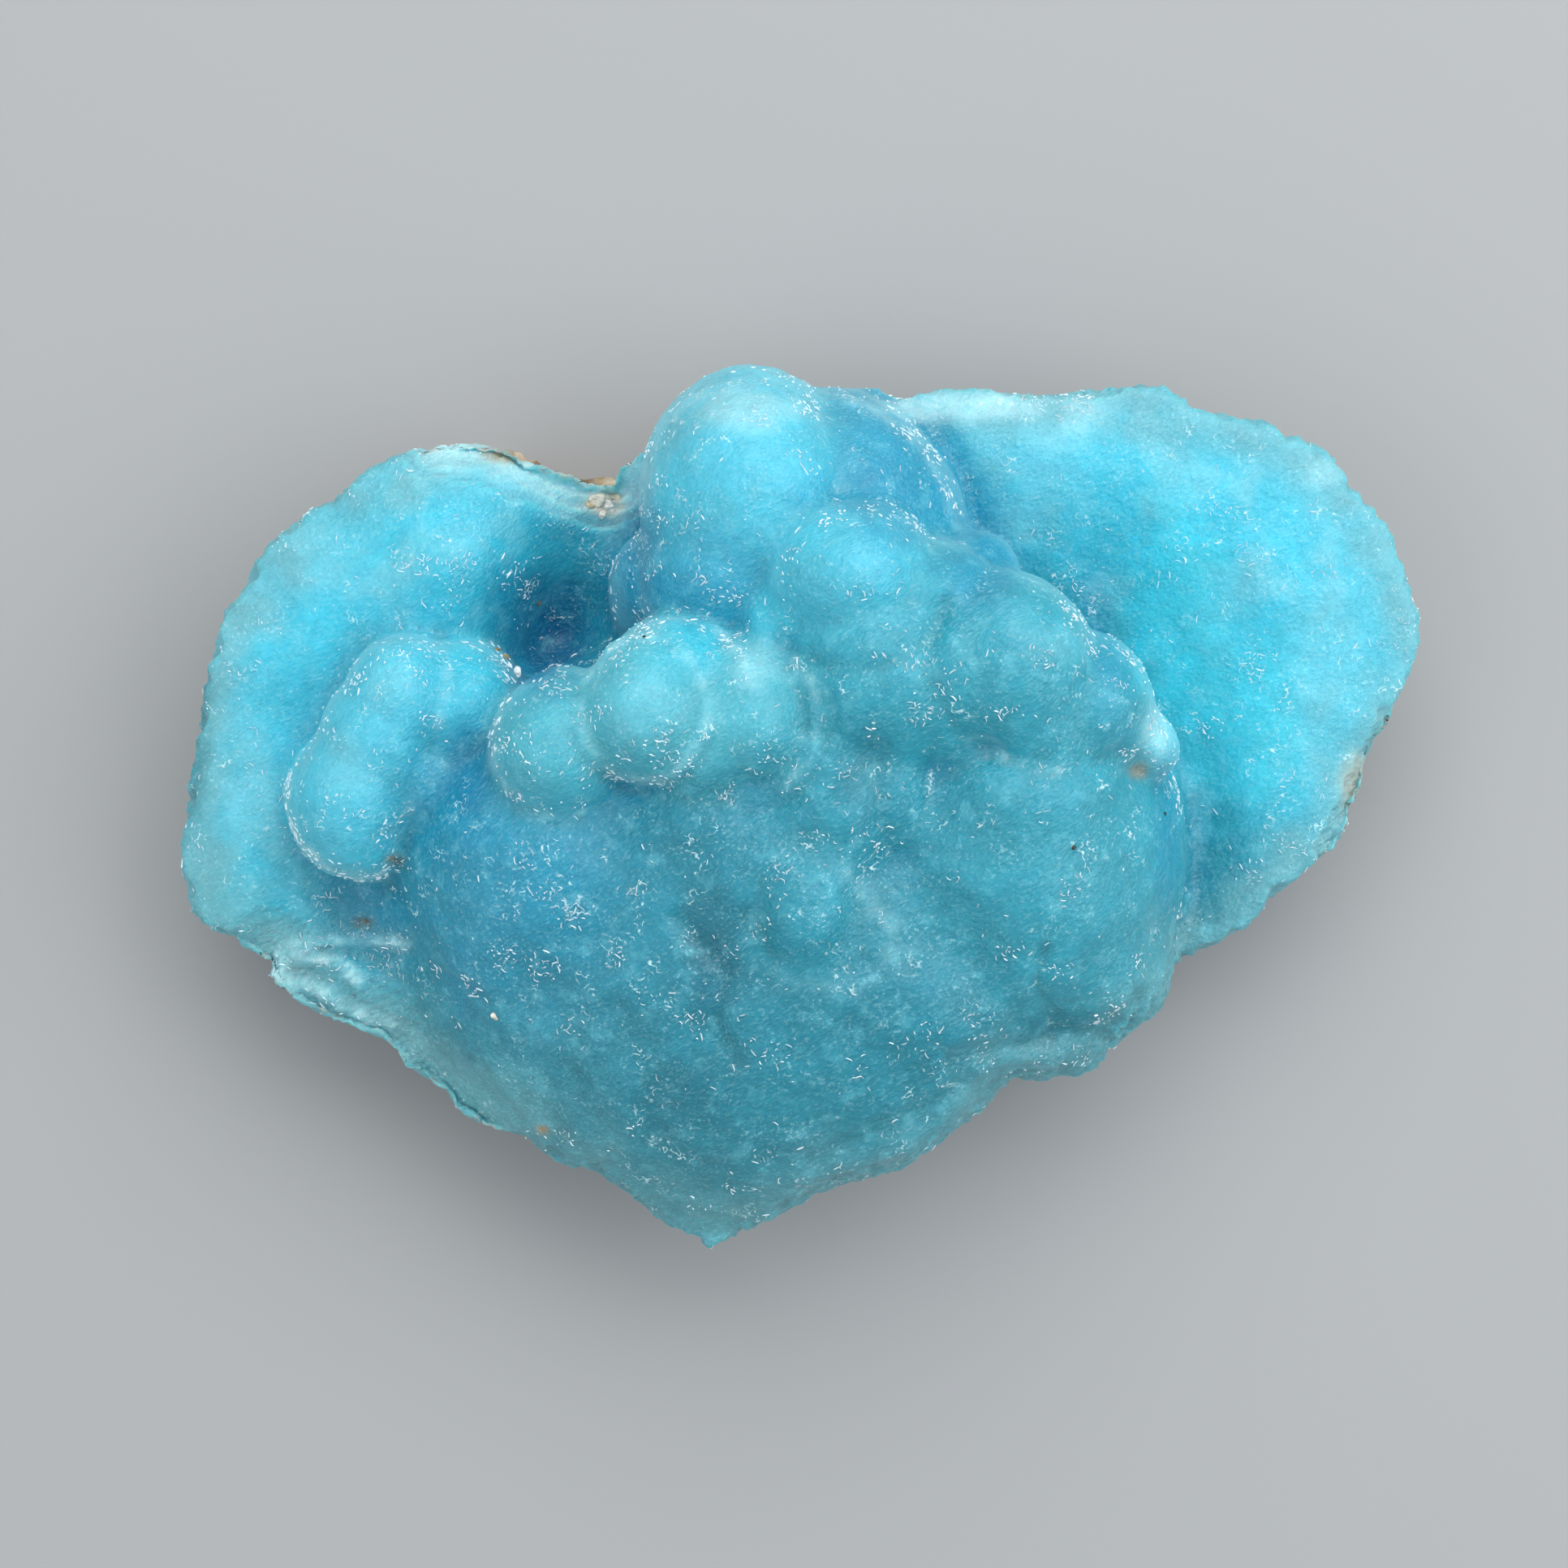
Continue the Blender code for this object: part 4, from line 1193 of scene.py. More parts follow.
@dataclass
class Crust:
    """The blue crust, grown from its solid's own rim, lobes and swells, sizes in millimetres."""

    tools: MeshTool
    form: CrustForm
    body_voxel: float = 0.4
    fine_voxel: float = 0.25
    last_voxel: float = 0.32
    sheet_step: float = 0.8
    margin: float = 3.0
    rim_span: Band = (-4.0, 32.0)
    body_rounds: int = 26
    lobe_rounds: int = 9
    last_rounds: int = 2
    lump_size: float = 5.0
    lump_height: float = 0.6
    depth: float = 30.0
    # The rim's chips, and the ledges where it broke in layers.
    jag: float = 0.28
    chip_bias: float = 2.6
    chip_band: Band = (1.6, 0.2)
    chips: Layers = ((1.0, 1.3, 3.0), (0.5, 0.55, 5.0))
    chips_on_lobes: float = 0.15
    off_lobes: Band = (1.0, 1.12)
    ledge_rag: Layers = ((0.45, 1.6, 7.0),)
    ledge_facing: Band = (0.05, 0.5)
    ledge_floor: float = 0.7
    stair_band: Band = (0.35, 0.65)
    # The fine relief of the front, and the granular break of the back.
    front_band: Band = (-0.25, 0.15)
    dome_band: Band = (1.25, 1.0)
    rough_off_lobes: Band = (1.0, 1.15)
    least_rough: float = 0.35
    knobs: Layers = ((0.16, 1.9, 1.0), (0.06, 0.85, 2.0))
    ripple: Layers = ((0.022, 0.42, 4.0),)
    back_grain: Layers = ((0.30, 1.8, 9.0), (0.12, 0.7, 11.0))
    fold_wander: Layers = ((0.3, 1.5, 15.0),)
    # How the lobes' tones spread.
    sheet_hold: float = 0.10
    lobe_edge: float = 0.10
    farthest: float = 9.0
    # The pale patches on the wings, the pale rim and the greener foot.
    wing_off_lobes: Band = (1.05, 1.35)
    wing_off_mass: Band = (1.02, 1.12)
    wing_facing: Band = (0.2, 0.5)
    wing_patches: Layers = ((1.0, 3.4, 61.0), (0.4, 1.2, 63.0))
    patch_band: Band = (0.0, 0.45)
    patch_share: float = 0.65
    rim_width: float = 4.0
    rim_rag: Layers = ((1.3, 2.5, 21.0),)
    rim_on_lobes: float = 0.2
    rim_share: float = 0.75
    foot_band: Band = (2.0, -16.0)
    foot_height: Band = (22.0, 12.0)
    foot_share: float = 0.45
    # The painted shade of the creases, the painted highlights of the crests, and the painted sheen
    # on the lobes' flanks.
    bend_rounds: int = 160
    bend_softening: int = 4
    steep_band: Band = (0.62, 0.25)
    upward_band: Band = (-0.1, 0.15)
    lobe_skin: Band = (1.15, 1.02)
    painted_flank_sheen: float = 0.22
    # The marks: ledges, stains with painted light and shade among them, and frosted folds with
    # painted glints.
    ledge_stray: Layers = ((0.5, 1.2, 33.0),)
    ledge_share: float = 0.75
    ledge_start: float = 0.4
    stain_and_light_stray: Layers = ((0.35, 1.4, 31.0),)
    stain_and_light_band: Band = (1.5, 0.3)
    stain_and_light_facing: float = -0.2
    frost_and_glint_break: Layers = ((1.0, 0.8, 35.0),)
    frost_and_glint_band: Band = (-0.2, 0.4)
    frost_and_glint_swing: Point = (0.4, 1.6)
    # The back: grey green, with tan patches of rock.
    back_band: Band = (-0.1, -0.5)
    back_patches: Layers = ((1.0, 3.5, 41.0),)
    back_patch_band: Band = (-0.3, 0.5)
    back_share: float = 0.75

    def slab_size(self, margins: float) -> Point:
        """A slab's size with some margins around the crust."""
        edge = 2.0 * margins * self.margin
        return 2.0 * self.form.half_width + edge, 2.0 * self.form.half_height + edge

    def grow_body(self) -> bpy.types.Object:
        """The sheet and its front mass, cut off along the broken rim.

        Returns:
            The body, before its lobes.
        """
        tools, form, wide = self.tools, self.form, self.slab_size(2.0)
        body = tools.sheet("sheet", level(0.0), form.front, self.sheet_step, self.slab_size(1.0))
        tools.add_lobes(body.data, FRONT_MASS)
        tools.voxels(body, self.body_voxel, self.body_rounds)
        tools.settle(body)
        cap = tools.sheet("cap", level(-self.depth), form.cap, self.sheet_step, wide)
        tools.cut(body, cap, "INTERSECT")
        tools.cut(body, tools.prism("rim", CRUST_RIM, self.rim_span), "INTERSECT")
        return body

    def grow(self) -> bpy.types.Object:
        """The whole crust with its lobes, before its fine surface.

        Returns:
            The crust.
        """
        tools, form, wide = self.tools, self.form, self.slab_size(2.0)
        crust = self.grow_body()
        tools.add_lobes(crust.data, LOBES)
        tools.voxels(crust, self.fine_voxel, self.lobe_rounds)
        tools.lumps(crust, self.lump_size, self.lump_height)
        tools.settle(crust)
        under = tools.sheet("under", level(-self.depth), form.back, self.sheet_step, wide)
        tools.cut(crust, under, "DIFFERENCE")
        tools.voxels(crust, self.last_voxel, self.last_rounds)
        tools.settle(crust)
        crust.name = "frosted_crust"
        return crust

    def break_rim(self, surface: Surface) -> None:
        """Chips the rim in small scallops, and steps it where it broke in layers.

        Args:
            surface: The crust's surface.
        """
        depth = self.form.rim.depth(surface.points)
        clear = smoothstep(*self.off_lobes, nearest_reach(LOBES, surface.points))
        near = smoothstep(*self.chip_band, depth) * faded(self.chips_on_lobes, clear)
        chips = clouds(surface.points, self.chips, ridged=True)
        outward = surface.normals * np.array([1.0, 1.0, 0.0])
        surface.points += outward * (near * self.jag * (1.0 - self.chip_bias * chips))[:, None]
        floor = self.form.back(surface.points) + self.ledge_floor
        facing = smoothstep(*self.ledge_facing, surface.normals[:, 2])
        for ledge in LEDGES:
            away = path_distance(surface.points, ledge.path)
            ragged = away + clouds(surface.points, self.ledge_rag)
            share = np.clip(1.0 - ragged / ledge.width, 0.0, 1.0) * ledge.steps
            whole = np.floor(share)
            stair = (whole + smoothstep(*self.stair_band, share - whole)) / ledge.steps
            lower = surface.points[:, 2] - facing * ledge.drop * stair
            held = np.maximum(lower, np.minimum(floor, surface.points[:, 2]))
            surface.points[:, 2] = np.where(facing > 0.0, held, lower)
        surface.write()

    def roughen(self, surface: Surface) -> None:
        """Gives the front its small knobs and folds, and the back its granular break.

        Args:
            surface: The crust's surface.
        """
        points = surface.points
        front = smoothstep(*self.front_band, surface.normals[:, 2])
        dome = smoothstep(*self.dome_band, FRONT_MASS["dome"].reach(points))
        clear = smoothstep(*self.rough_off_lobes, nearest_reach(LOBES, points))
        rough = self.least_rough + (1.0 - self.least_rough) * dome * clear
        wander = clouds(points, self.fold_wander)
        folds = np.zeros(len(points))
        for fold in FOLDS:
            folds += fold.height * fold.hold(points, wander)
        relief = rough * clouds(points, self.knobs) + clouds(points, self.ripple) + folds
        push = front * relief - (1.0 - front) * clouds(points, self.back_grain, ridged=True)
        surface.points += surface.normals * push[:, None]
        surface.write()

    def lobe_tones(self, points: np.ndarray) -> np.ndarray:
        """Each point's tone from the lobes around it, or from the sheet where there are none.
        Lobes toned SHADE give painted shade.

        Args:
            points: The points, in millimetres.

        Returns:
            One linear colour a point.
        """
        total = np.full(len(points), self.sheet_hold)
        colours = np.tile(np.array(Tone.WING.value) * self.sheet_hold, (len(points), 1))
        for lobe in (*FRONT_MASS.values(), *LOBES.values()):
            beyond = np.clip(lobe.reach(points) - 1.0, 0.0, self.farthest)
            pull = np.exp(-beyond / self.lobe_edge)
            colours += np.array(lobe.tone.value) * pull[:, None]
            total += pull
        return colours / total[:, None]

    def sheet_tones(self, colours: np.ndarray, surface: Surface) -> np.ndarray:
        """Adds the wings' pale patches, the pale rim and the greener foot.

        Args:
            colours: The colours so far, one a row.
            surface: The crust's finished surface.

        Returns:
            The changed colours.
        """
        points, up = surface.points, surface.normals[:, 2]
        lobes = nearest_reach(LOBES, points)
        wing = smoothstep(*self.wing_off_lobes, lobes) * smoothstep(*self.wing_facing, up)
        wing *= smoothstep(*self.wing_off_mass, nearest_reach(FRONT_MASS, points))
        patches = smoothstep(*self.patch_band, clouds(points, self.wing_patches))
        colours = blend(colours, Tone.PALE.value, self.patch_share * wing * patches)
        ragged = self.form.rim.depth(points) + clouds(points, self.rim_rag)
        thin = smoothstep(self.rim_width, 0.0, ragged)
        thin *= faded(self.rim_on_lobes, smoothstep(*self.off_lobes, lobes))
        colours = blend(colours, Tone.RIM.value, self.rim_share * thin)
        foot = smoothstep(*self.foot_band, points[:, 1])
        foot *= smoothstep(*self.foot_height, points[:, 2])
        return blend(colours, Tone.GREEN_TEAL.value, self.foot_share * foot)

    def relief_tones(self, colours: np.ndarray, surface: Surface) -> np.ndarray:
        """Paints shade in the creases, and paints highlights on the crests and sheen on the lobes'
        flanks.

        Args:
            colours: The colours so far, one a row.
            surface: The crust's finished surface.

        Returns:
            The changed colours.
        """
        stand = surface.soften(surface.bend(self.bend_rounds), self.bend_softening)
        # Painted shade in the creases and painted highlights on the crests.
        for shading in SHADINGS:
            share = shading.share * smoothstep(*shading.band, stand)
            colours = blend(colours, shading.tone.value, share)
        up = surface.normals[:, 2]
        side = smoothstep(*self.steep_band, up) * smoothstep(*self.upward_band, up)
        skin = smoothstep(*self.lobe_skin, nearest_reach(LOBES, surface.points))
        # Painted sheen on the lobes' steep flanks.
        return blend(colours, Tone.FROST_AND_HIGHLIGHT.value, self.painted_flank_sheen * side * skin)

    def marks(self, colours: np.ndarray, surface: Surface) -> np.ndarray:
        """Adds the ledges' tones, the stains with the painted light and shade among them, and the
        folds' frost with its painted glints.

        Args:
            colours: The colours so far, one a row.
            surface: The crust's finished surface.

        Returns:
            The changed colours.
        """
        points, up = surface.points, surface.normals[:, 2]
        stray = clouds(points, self.ledge_stray)
        for ledge in LEDGES:
            away = path_distance(points, ledge.path) + stray
            share = self.ledge_share * smoothstep(ledge.width, self.ledge_start, away)
            colours = blend(colours, ledge.tone.value, share)
        stray = clouds(points, self.stain_and_light_stray)
        # Stains, and painted shade, glow and highlights.
        for stain_and_light in STAINS_AND_PAINTED_LIGHT:
            away = (points[:, :2] - np.array(stain_and_light.centre)) / np.array(stain_and_light.spread)
            reach = np.linalg.norm(away, axis=1) + stray
            share = stain_and_light.strength * smoothstep(*self.stain_and_light_band, reach) * (up > self.stain_and_light_facing)
            colours = blend(colours, stain_and_light.tone.value, share)
        wander = clouds(points, self.fold_wander)
        least, swing = self.frost_and_glint_swing
        broken = least + swing * smoothstep(*self.frost_and_glint_band, clouds(points, self.frost_and_glint_break))
        # Frost along the folds, partly painted glints and sheen along the lobes' outlines.
        for fold in FOLDS:
            frost_and_glint = fold.frost_and_glint * fold.hold(points, wander) * (up > 0.0)
            frost_and_glint *= broken
            colours = blend(colours, Tone.FROST_AND_HIGHLIGHT.value, frost_and_glint)
        return colours

    def tone(self, surface: Surface) -> np.ndarray:
        """The colour of each point: the tones it grew in, with painted light and shade.

        Args:
            surface: The crust's finished surface.

        Returns:
            One linear colour a point.
        """
        colours = self.sheet_tones(self.lobe_tones(surface.points), surface)
        colours = self.marks(self.relief_tones(colours, surface), surface)
        patches = clouds(surface.points, self.back_patches)
        grey = smoothstep(*self.back_patch_band, patches)[:, None]
        back = np.array(Tone.MINT.value) * (1.0 - grey) + np.array(Tone.TAN.value) * grey
        behind = smoothstep(*self.back_band, surface.normals[:, 2])
        return blend(colours, back, self.back_share * behind)

    def build(self) -> bpy.types.Object:
        """Grows, breaks, roughens and colours the crust.

        Returns:
            The finished piece.
        """
        crust = self.grow()
        surface = Surface(crust.data)
        self.break_rim(surface)
        self.roughen(surface)
        surface.paint("grown_colour", self.tone(surface))
        crust.data.shade_smooth()
        crust.data.materials.clear()
        crust.data.materials.append(FrostedBlue().make())
        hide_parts(CRUST_NODE)
        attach(crust, BODY)
        LOG.info("crust: %d faces", len(crust.data.polygons))
        return crust


@dataclass(frozen=True)
class RockPatch:
    """Patches of another colour in the rock, where a noise is high."""

    colour: Colour
    layers: Layers
    band: Band
    share: float = 1.0


# Pale, brown and rusty patches.
ROCK_PATCHES: list[RockPatch] = [
    RockPatch((0.72, 0.66, 0.54), ((1.0, 2.2, 3.0),), (0.0, 0.5)),
    RockPatch((0.20, 0.13, 0.07), ((1.0, 1.3, 8.0),), (0.1, 0.6)),
    RockPatch((0.50, 0.24, 0.07), ((1.0, 3.0, 13.0),), (0.2, 0.6), 0.7),
]


@dataclass
class Rock:
    """The remnant of rock on the crust's back, with its flat cut, sizes in millimetres."""

    tools: MeshTool
    form: CrustForm
    span: Band = (-3.0, 11.0)
    voxel: float = 0.9
    fine_voxel: float = 0.38
    rounds: int = 6
    fine_rounds: int = 2
    lump_size: float = 3.0
    lump_height: float = 2.2
    layer_step: float = 1.2
    margin: float = 12.0
    flat_band: float = 0.25
    flat_facing: float = -0.5
    wall_band: Band = (0.75, 0.35)
    crumbs: Layers = ((0.35, 1.1, 2.0), (0.20, 0.5, 6.0))
    tan: Colour = (0.46, 0.35, 0.22)

    def build(self) -> bpy.types.Object:
        """Breaks the rock off, cuts it flat and colours it.

        Returns:
            The finished piece.
        """
        tools, form = self.tools, self.form
        rock = tools.prism("rough_rock", ROCK_RIM, self.span)
        tools.voxels(rock, self.voxel, self.rounds)
        tools.lumps(rock, self.lump_size, self.lump_height)
        tools.settle(rock)
        size = (2.0 * form.half_width + self.margin, 2.0 * form.half_height + self.margin)
        layer = tools.sheet("layer", level(0.0), form.under_crust, self.layer_step, size)
        tools.cut(rock, layer, "INTERSECT")
        tools.voxels(rock, self.fine_voxel, self.fine_rounds)
        tools.settle(rock)
        surface = Surface(rock.data)
        up = surface.normals[:, 2]
        flat = (surface.points[:, 2] < self.flat_band) & (up < self.flat_facing)
        wall = smoothstep(*self.wall_band, np.abs(up))
        crumbs = clouds(surface.points, self.crumbs)
        surface.points += surface.normals * (wall * crumbs)[:, None]
        surface.points[flat, 2] = 0.0
        surface.points[:, 2] = np.maximum(surface.points[:, 2], 0.0)
        surface.write()
        surface.paint("grown_colour", self.tone(surface.points))
        rock.data.shade_smooth()
        rock.data.materials.clear()
        rock.data.materials.append(RoughRock().make())
        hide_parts(ROCK_NODE)
        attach(rock, BODY)
        LOG.info("rock: %d faces", len(rock.data.polygons))
        return rock

    def tone(self, points: np.ndarray) -> np.ndarray:
        """The rock's colours: tan, with its patches over it.

        Args:
            points: The points, in millimetres.

        Returns:
            One linear colour a point.
        """
        colours = np.tile(np.array(self.tan), (len(points), 1))
        for patch in ROCK_PATCHES:
            share = patch.share * smoothstep(*patch.band, clouds(points, patch.layers))
            colours = blend(colours, patch.colour, share)
        return colours


@dataclass
class Glints:
    """The thousands of small curved crystal edges on the crust, whitened as painted glints of
    light, sizes in millimetres.
    """

    tools: MeshTool
    crust: bpy.types.Object
    seed: int = 11
    # How many there are, and how they gather in clusters.
    clusters: int = 440
    cluster_size: float = 26.0
    cluster_spread: float = 0.34
    cluster_shape: tuple[float, float, float] = (1.3, 0.8, 1.0)
    smallest_cluster: int = 2
    singles: int = 1100
    single_stray: float = 0.5
    scatter: float = 0.40
    # Where they are likely.
    anywhere: float = 0.05
    patches: Layers = ((1.0, 1.9, 51.0),)
    patch_band: Band = (0.0, 0.55)
    patch_power: float = 1.5
    regions: Layers = ((1.0, 6.0, 53.0),)
    region_band: Band = (-0.15, 0.35)
    steep_band: Band = (0.75, 0.35)
    lobe_skin: Band = (1.2, 1.02)
    on_slopes: float = 0.28
    crest_rounds: int = 12
    crest_band: Band = (0.02, 0.12)
    on_crests: float = 0.5
    on_folds: float = 3.0
    fold_width: float = 0.25
    valley: Point = (9.9, 13.2)
    valley_band: Band = (2.4, 4.2)
    facing_band: Band = (0.02, 0.2)
    # The shape and colour of one; its colour is whitened as a painted glint of light.
    shortest: float = 0.12
    longest: float = 0.58
    length_power: float = 2.4
    width: float = 0.105
    width_range: Point = (0.6, 0.6)
    aim: float = 0.12
    turn_spread: float = 1.0
    bow: float = 0.22
    lift: float = 0.02
    white: Colour = (0.86, 0.97, 1.0)
    whiteness: Point = (0.45, 0.55)
    pale_power: float = 1.3

    def chances(self, surface: Surface) -> np.ndarray:
        """How likely a glint is at each point of the crust.

        Args:
            surface: The crust's surface.

        Returns:
            One share a point, all of them adding up to 1.
        """
        points, upward = surface.points, surface.normals[:, 2]
        clusters = smoothstep(*self.patch_band, clouds(points, self.patches)) ** self.patch_power
        wide = smoothstep(*self.region_band, clouds(points, self.regions))
        skin = smoothstep(*self.lobe_skin, nearest_reach(LOBES, points))
        slope = smoothstep(*self.steep_band, upward) * skin
        crest = smoothstep(*self.crest_band, surface.bend(self.crest_rounds))
        chance = self.anywhere + clusters * wide + self.on_slopes * slope
        chance += self.on_crests * crest * wide
        for fold in FOLDS:
            away = path_distance(points, fold.path) / self.fold_width
            chance += self.on_folds * fold.frost_and_glint * np.exp(-(away ** 2))
        valley = np.hypot(points[:, 0] - self.valley[0], points[:, 1] - self.valley[1])
        chance *= smoothstep(*self.valley_band, valley)
        chance *= smoothstep(*self.facing_band, upward)
        return chance / chance.sum()

    def choose(self, surface: Surface,
               draw: np.random.Generator) -> tuple[np.ndarray, np.ndarray]:
        """Picks the points that carry a glint: clusters, and single ones between them.

        Args:
            surface: The crust's surface.
            draw: The source of chance.

        Returns:
            The points' numbers, and the place that each glint curves around.
        """
        chances = self.chances(surface)
        centres = draw.choice(len(surface.points), self.clusters, False, chances)
        sizes = draw.poisson(self.cluster_size * draw.random(self.clusters) ** 2)
        sizes += self.smallest_cluster
        hearts = np.repeat(surface.points[centres], sizes, axis=0)
        spread = draw.normal(0.0, self.cluster_spread, hearts.shape)
        middles = hearts + spread * np.array(self.cluster_shape)
        tree = KDTree(len(surface.points))
        for number, point in enumerate(surface.points.tolist()):
            tree.insert(point, number)
        tree.balance()
        near = [tree.find(point)[1] for point in middles.tolist()]
        single = draw.choice(len(surface.points), self.singles, False, chances)
        chosen, first = np.unique(np.concatenate([np.array(near), single]), return_index=True)
        strays = draw.normal(0.0, self.single_stray, (self.singles, 3))
        hearts = np.concatenate([hearts, surface.points[single] + strays])
        front = surface.normals[chosen, 2] > 0.0
        return chosen[front], hearts[first][front]

    def blade(self) -> tuple[np.ndarray, np.ndarray]:
        """One glint's shape, at unit size.

        Returns:
            Its points, and its triangles by the points' numbers.
        """
        bm = bmesh.new()
        bmesh.ops.create_uvsphere(bm, u_segments=3, v_segments=3, radius=0.5)
        bmesh.ops.triangulate(bm, faces=bm.faces)
        points = np.array([vert.co[:] for vert in bm.verts])
        faces = np.array([[vert.index for vert in face.verts] for face in bm.faces])
        bm.free()
        return points, faces

    def tone(self, surface: Surface, chosen: np.ndarray, draw: np.random.Generator) -> np.ndarray:
        """Each glint's colour: the crust's own under it, whitened as a painted glint of light.

        Args:
            surface: The crust's surface.
            chosen: The numbers of the points that carry a glint.
            draw: The source of chance.

        Returns:
            One linear colour a glint.
        """
        least, swing = self.whiteness
        pale = draw.random(len(chosen)) ** self.pale_power
        base = np.empty(len(surface.points) * 4, dtype=np.float32)
        surface.mesh.attributes["grown_colour"].data.foreach_get("color", base)
        under = base.reshape(-1, 4)[chosen, :3].astype(float)
        return blend(under, self.white, least + swing * pale)

    def build(self) -> bpy.types.Object:
        """Sets the glints on the crust.

        Returns:
            The finished piece.
        """
        surface = Surface(self.crust.data)
        draw = np.random.default_rng(self.seed)
        chosen, hearts = self.choose(surface, draw)
        place, up = surface.points[chosen], surface.normals[chosen]
        count = len(chosen)
        stray = self.scatter * (draw.random((count, 3)) - 0.5)
        place = place + stray - along_normals(stray, up)
        inward = hearts - place + draw.normal(0.0, self.aim, (count, 3))
        inward -= along_normals(inward, up)
        inward /= np.linalg.norm(inward, axis=1)[:, None]
        turn = draw.normal(0.0, self.turn_spread, count)[:, None]
        along = np.cross(inward, up) * np.cos(turn) + inward * np.sin(turn)
        across = np.cross(up, along)
        spread = draw.random(count) ** self.length_power
        length = self.shortest + (self.longest - self.shortest) * spread
        bow = np.abs(draw.normal(0.0, self.bow, count)) * length
        least, swing = self.width_range
        girth = self.width * (least + swing * draw.random(count))

        blade, faces = self.blade()
        run, side, rise = blade[:, 2], blade[:, 0], blade[:, 1]
        middle = place[:, None, :] + along[:, None, :] * (run * length[:, None])[:, :, None]
        sideways = side * girth[:, None] + bow[:, None] * (4.0 * run * run - 0.5)
        middle += across[:, None, :] * sideways[:, :, None]
        middle += up[:, None, :] * (rise * girth[:, None] + self.lift)[:, :, None]
        corners = middle.reshape(-1, 3) * MM
        step = np.arange(count) * len(blade)
        triangles = (faces[None, :, :] + step[:, None, None]).reshape(-1, 3)
        mesh = bpy.data.meshes.new("crystal_edges")
        mesh.from_pydata(corners.tolist(), [], triangles.tolist())
        glints = self.tools.link("crystal_edges", mesh)
        tones = self.tone(surface, chosen, draw)
        Surface(mesh).paint("grown_colour", np.repeat(tones, len(blade), axis=0))
        mesh.materials.append(CrystalAndGlint().make())
        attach(glints, BODY)
        LOG.info("crystal edges: %d", count)
        return glints


@dataclass(frozen=True)
class Grain:
    """One named speck on the crust: its place, size and colour."""

    place: Point
    size: float
    colour: Colour


GRAINS: list[Grain] = [
    Grain((15.0, -2.2), 0.26, (0.02, 0.03, 0.03)),
    Grain((20.7, -0.4), 0.22, (0.02, 0.03, 0.03)),
    Grain((-17.2, -11.8), 0.42, (0.80, 0.76, 0.66)),
    Grain((-16.2, 7.6), 0.70, (0.85, 0.88, 0.86)),
    Grain((-16.9, 8.6), 0.40, (0.40, 0.27, 0.12)),
    Grain((-17.4, 9.0), 0.35, (0.30, 0.20, 0.09)),
    Grain((-15.3, 11.9), 0.34, (0.16, 0.12, 0.07)),
    Grain((-8.6, 9.4), 0.22, (0.03, 0.03, 0.03)),
    Grain((-23.1, -2.9), 0.26, (0.25, 0.18, 0.08)),
    Grain((-25.0, -6.6), 0.24, (0.16, 0.12, 0.06)),
    Grain((-11.7, 17.9), 0.80, (0.80, 0.74, 0.62)),
    Grain((-11.1, 17.4), 0.90, (0.86, 0.84, 0.78)),
    Grain((-10.8, 18.0), 0.60, (0.70, 0.60, 0.44)),
    Grain((-11.5, 17.0), 0.55, (0.84, 0.80, 0.70)),
    Grain((-12.2, 17.5), 0.50, (0.66, 0.54, 0.36)),
]


@dataclass
class Grains:
    """The few specks of rock and crystal that stick to the front."""

    tools: MeshTool
    crust: bpy.types.Object
    seed: int = 11

    def build(self) -> bpy.types.Object:
        """Drops each grain on the crust.

        Returns:
            The finished piece.
        """
        noise.seed_set(self.seed)  # noise_vector would else depend on the clock
        bpy.context.view_layer.update()
        tree = BVHTree.FromObject(self.crust, bpy.context.evaluated_depsgraph_get())
        bm = bmesh.new()
        counts = []
        for number, grain in enumerate(GRAINS):
            start = Vector((*grain.place, 60.0)) * MM
            hit = tree.ray_cast(start, Vector((0.0, 0.0, -1.0)))[0]
            size = grain.size * MM
            place = Matrix.Translation(hit) @ Matrix.Rotation(1.3 * number, 4, "Z")
            shape = place @ Matrix.Diagonal((size * 0.6, size * 0.42, size * 0.35, 1.0))
            before = len(bm.verts)
            made = bmesh.ops.create_icosphere(bm, subdivisions=2, radius=1.0, matrix=shape)
            for vert in made["verts"]:
                vert.co += Vector(noise.noise_vector(vert.co / size * 1.7)) * size * 0.30
            counts.append(len(bm.verts) - before)
        grains = self.tools.keep("grains", bm)
        colours = np.repeat(np.array([grain.colour for grain in GRAINS]), counts, axis=0)
        Surface(grains.data).paint("grown_colour", colours)
        grains.data.materials.append(RoughRock("loose_grains", 0.6).make())
        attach(grains, BODY)
        LOG.info("grains: %d", len(GRAINS))
        return grains


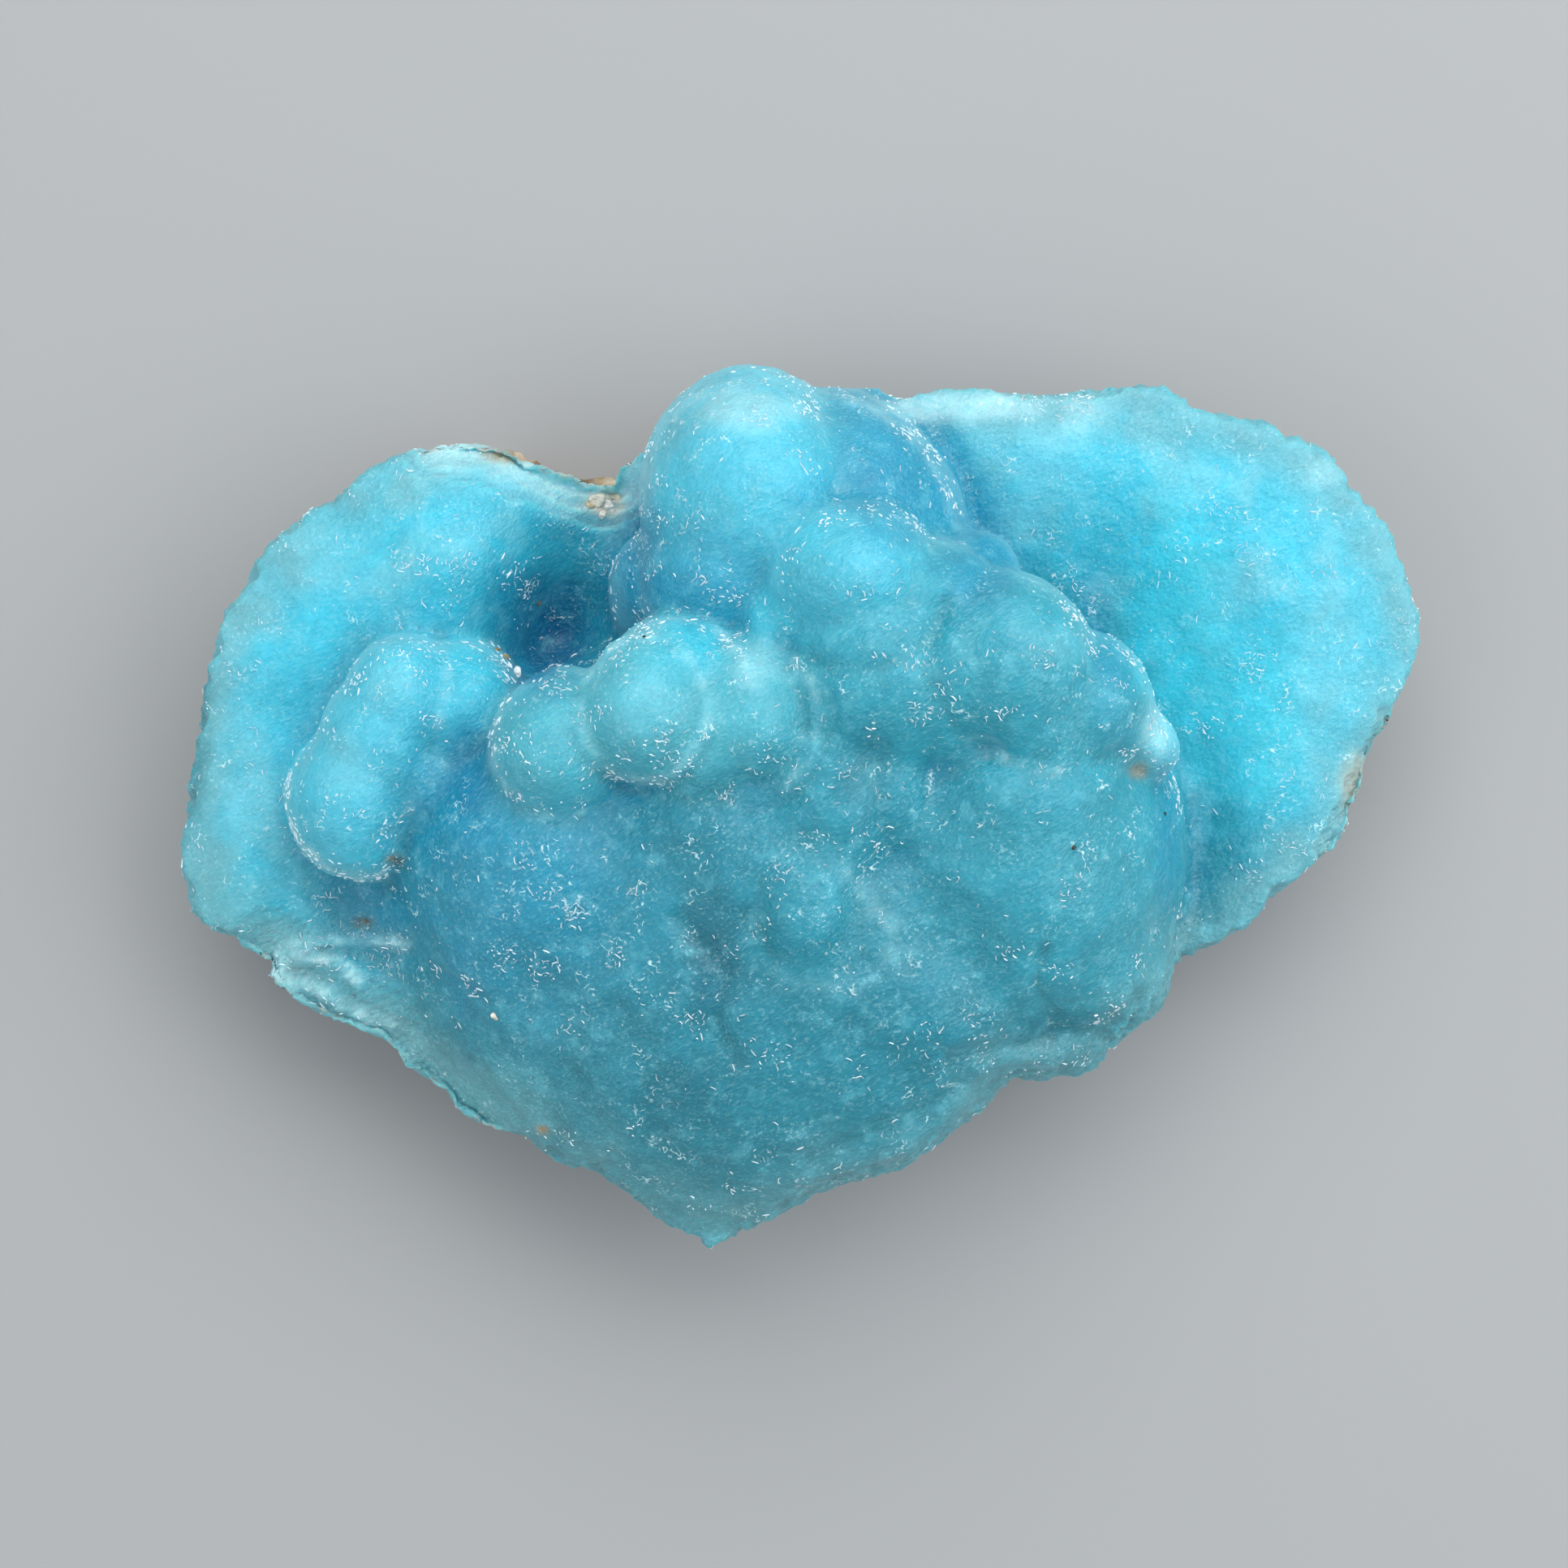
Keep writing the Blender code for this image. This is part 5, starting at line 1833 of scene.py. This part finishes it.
@dataclass
class Studio:
    """The plain floor, the soft lights and the camera straight above the specimen, in metres."""

    tools: MeshTool
    photo_width: float = 1932.0
    focal_pixels: float = 4300.0
    sensor: float = 36.0
    camera_place: tuple[float, float, float] = (-0.0009, 0.0013, 0.212)
    floor_size: float = 1.2
    aim_height: float = 0.012

    def floor(self) -> None:
        """A plain pale floor under the specimen."""
        bm = bmesh.new()
        bmesh.ops.create_grid(bm, x_segments=1, y_segments=1, size=self.floor_size / 2)
        floor = self.tools.keep("floor", bm)
        material = bpy.data.materials.new("pale_floor")
        material.use_nodes = True
        shader = material.node_tree.nodes["Principled BSDF"]
        shader.inputs["Base Color"].default_value = (0.40, 0.41, 0.42, 1.0)
        shader.inputs["Roughness"].default_value = 0.9
        floor.data.materials.append(material)

    def lamp(self, name: str, place: Vector, size: float, power: float, colour: Colour) -> None:
        """A soft square light that looks at the specimen.

        Args:
            name: The light's name.
            place: Where it hangs.
            size: Its width.
            power: Its power in watts.
            colour: Its colour.
        """
        light = bpy.data.lights.new(name, "AREA")
        light.shape = "SQUARE"
        light.size = size
        light.energy = power
        light.color = colour
        lamp = bpy.data.objects.new(name, light)
        self.tools.collection.objects.link(lamp)
        lamp.location = place
        aim = Vector((0.0, 0.0, self.aim_height)) - place
        lamp.rotation_euler = aim.to_track_quat("-Z", "Y").to_euler()

    def camera(self) -> None:
        """The camera, which looks straight down."""
        data = bpy.data.cameras.new("camera")
        data.sensor_width = self.sensor
        data.lens = self.sensor * self.focal_pixels / self.photo_width
        data.clip_start = 0.001
        data.clip_end = 10.0
        camera = bpy.data.objects.new("camera", data)
        self.tools.collection.objects.link(camera)
        camera.location = self.camera_place
        bpy.context.scene.camera = camera

    def build(self) -> None:
        """Sets the floor, the lights, the world and the camera."""
        self.floor()
        self.lamp("key", Vector((0.02, 0.30, 0.34)), 0.40, 1.25, (1.0, 0.99, 0.97))
        self.lamp("fill_left", Vector((-0.30, -0.10, 0.30)), 0.45, 0.50, (0.95, 0.98, 1.0))
        self.lamp("fill_right", Vector((0.28, 0.04, 0.26)), 0.40, 0.88, (0.95, 0.98, 1.0))
        world = bpy.data.worlds.new("studio")
        bpy.context.scene.world = world
        world.use_nodes = True
        background = world.node_tree.nodes["Background"]
        background.inputs["Color"].default_value = (0.92, 0.96, 1.0, 1.0)
        background.inputs["Strength"].default_value = 0.48
        self.camera()
        bpy.context.scene.view_settings.view_transform = "Standard"
        LOG.info("studio: ready")


def main() -> None:
    """Builds the specimen and its studio."""
    tools = MeshTool(bpy.context.scene.collection)
    form = CrustForm()
    crust = Crust(tools, form).build()
    Rock(tools, form).build()
    Glints(tools, crust).build()
    Grains(tools, crust).build()
    Studio(tools).build()


if __name__ == "__main__":
    main()
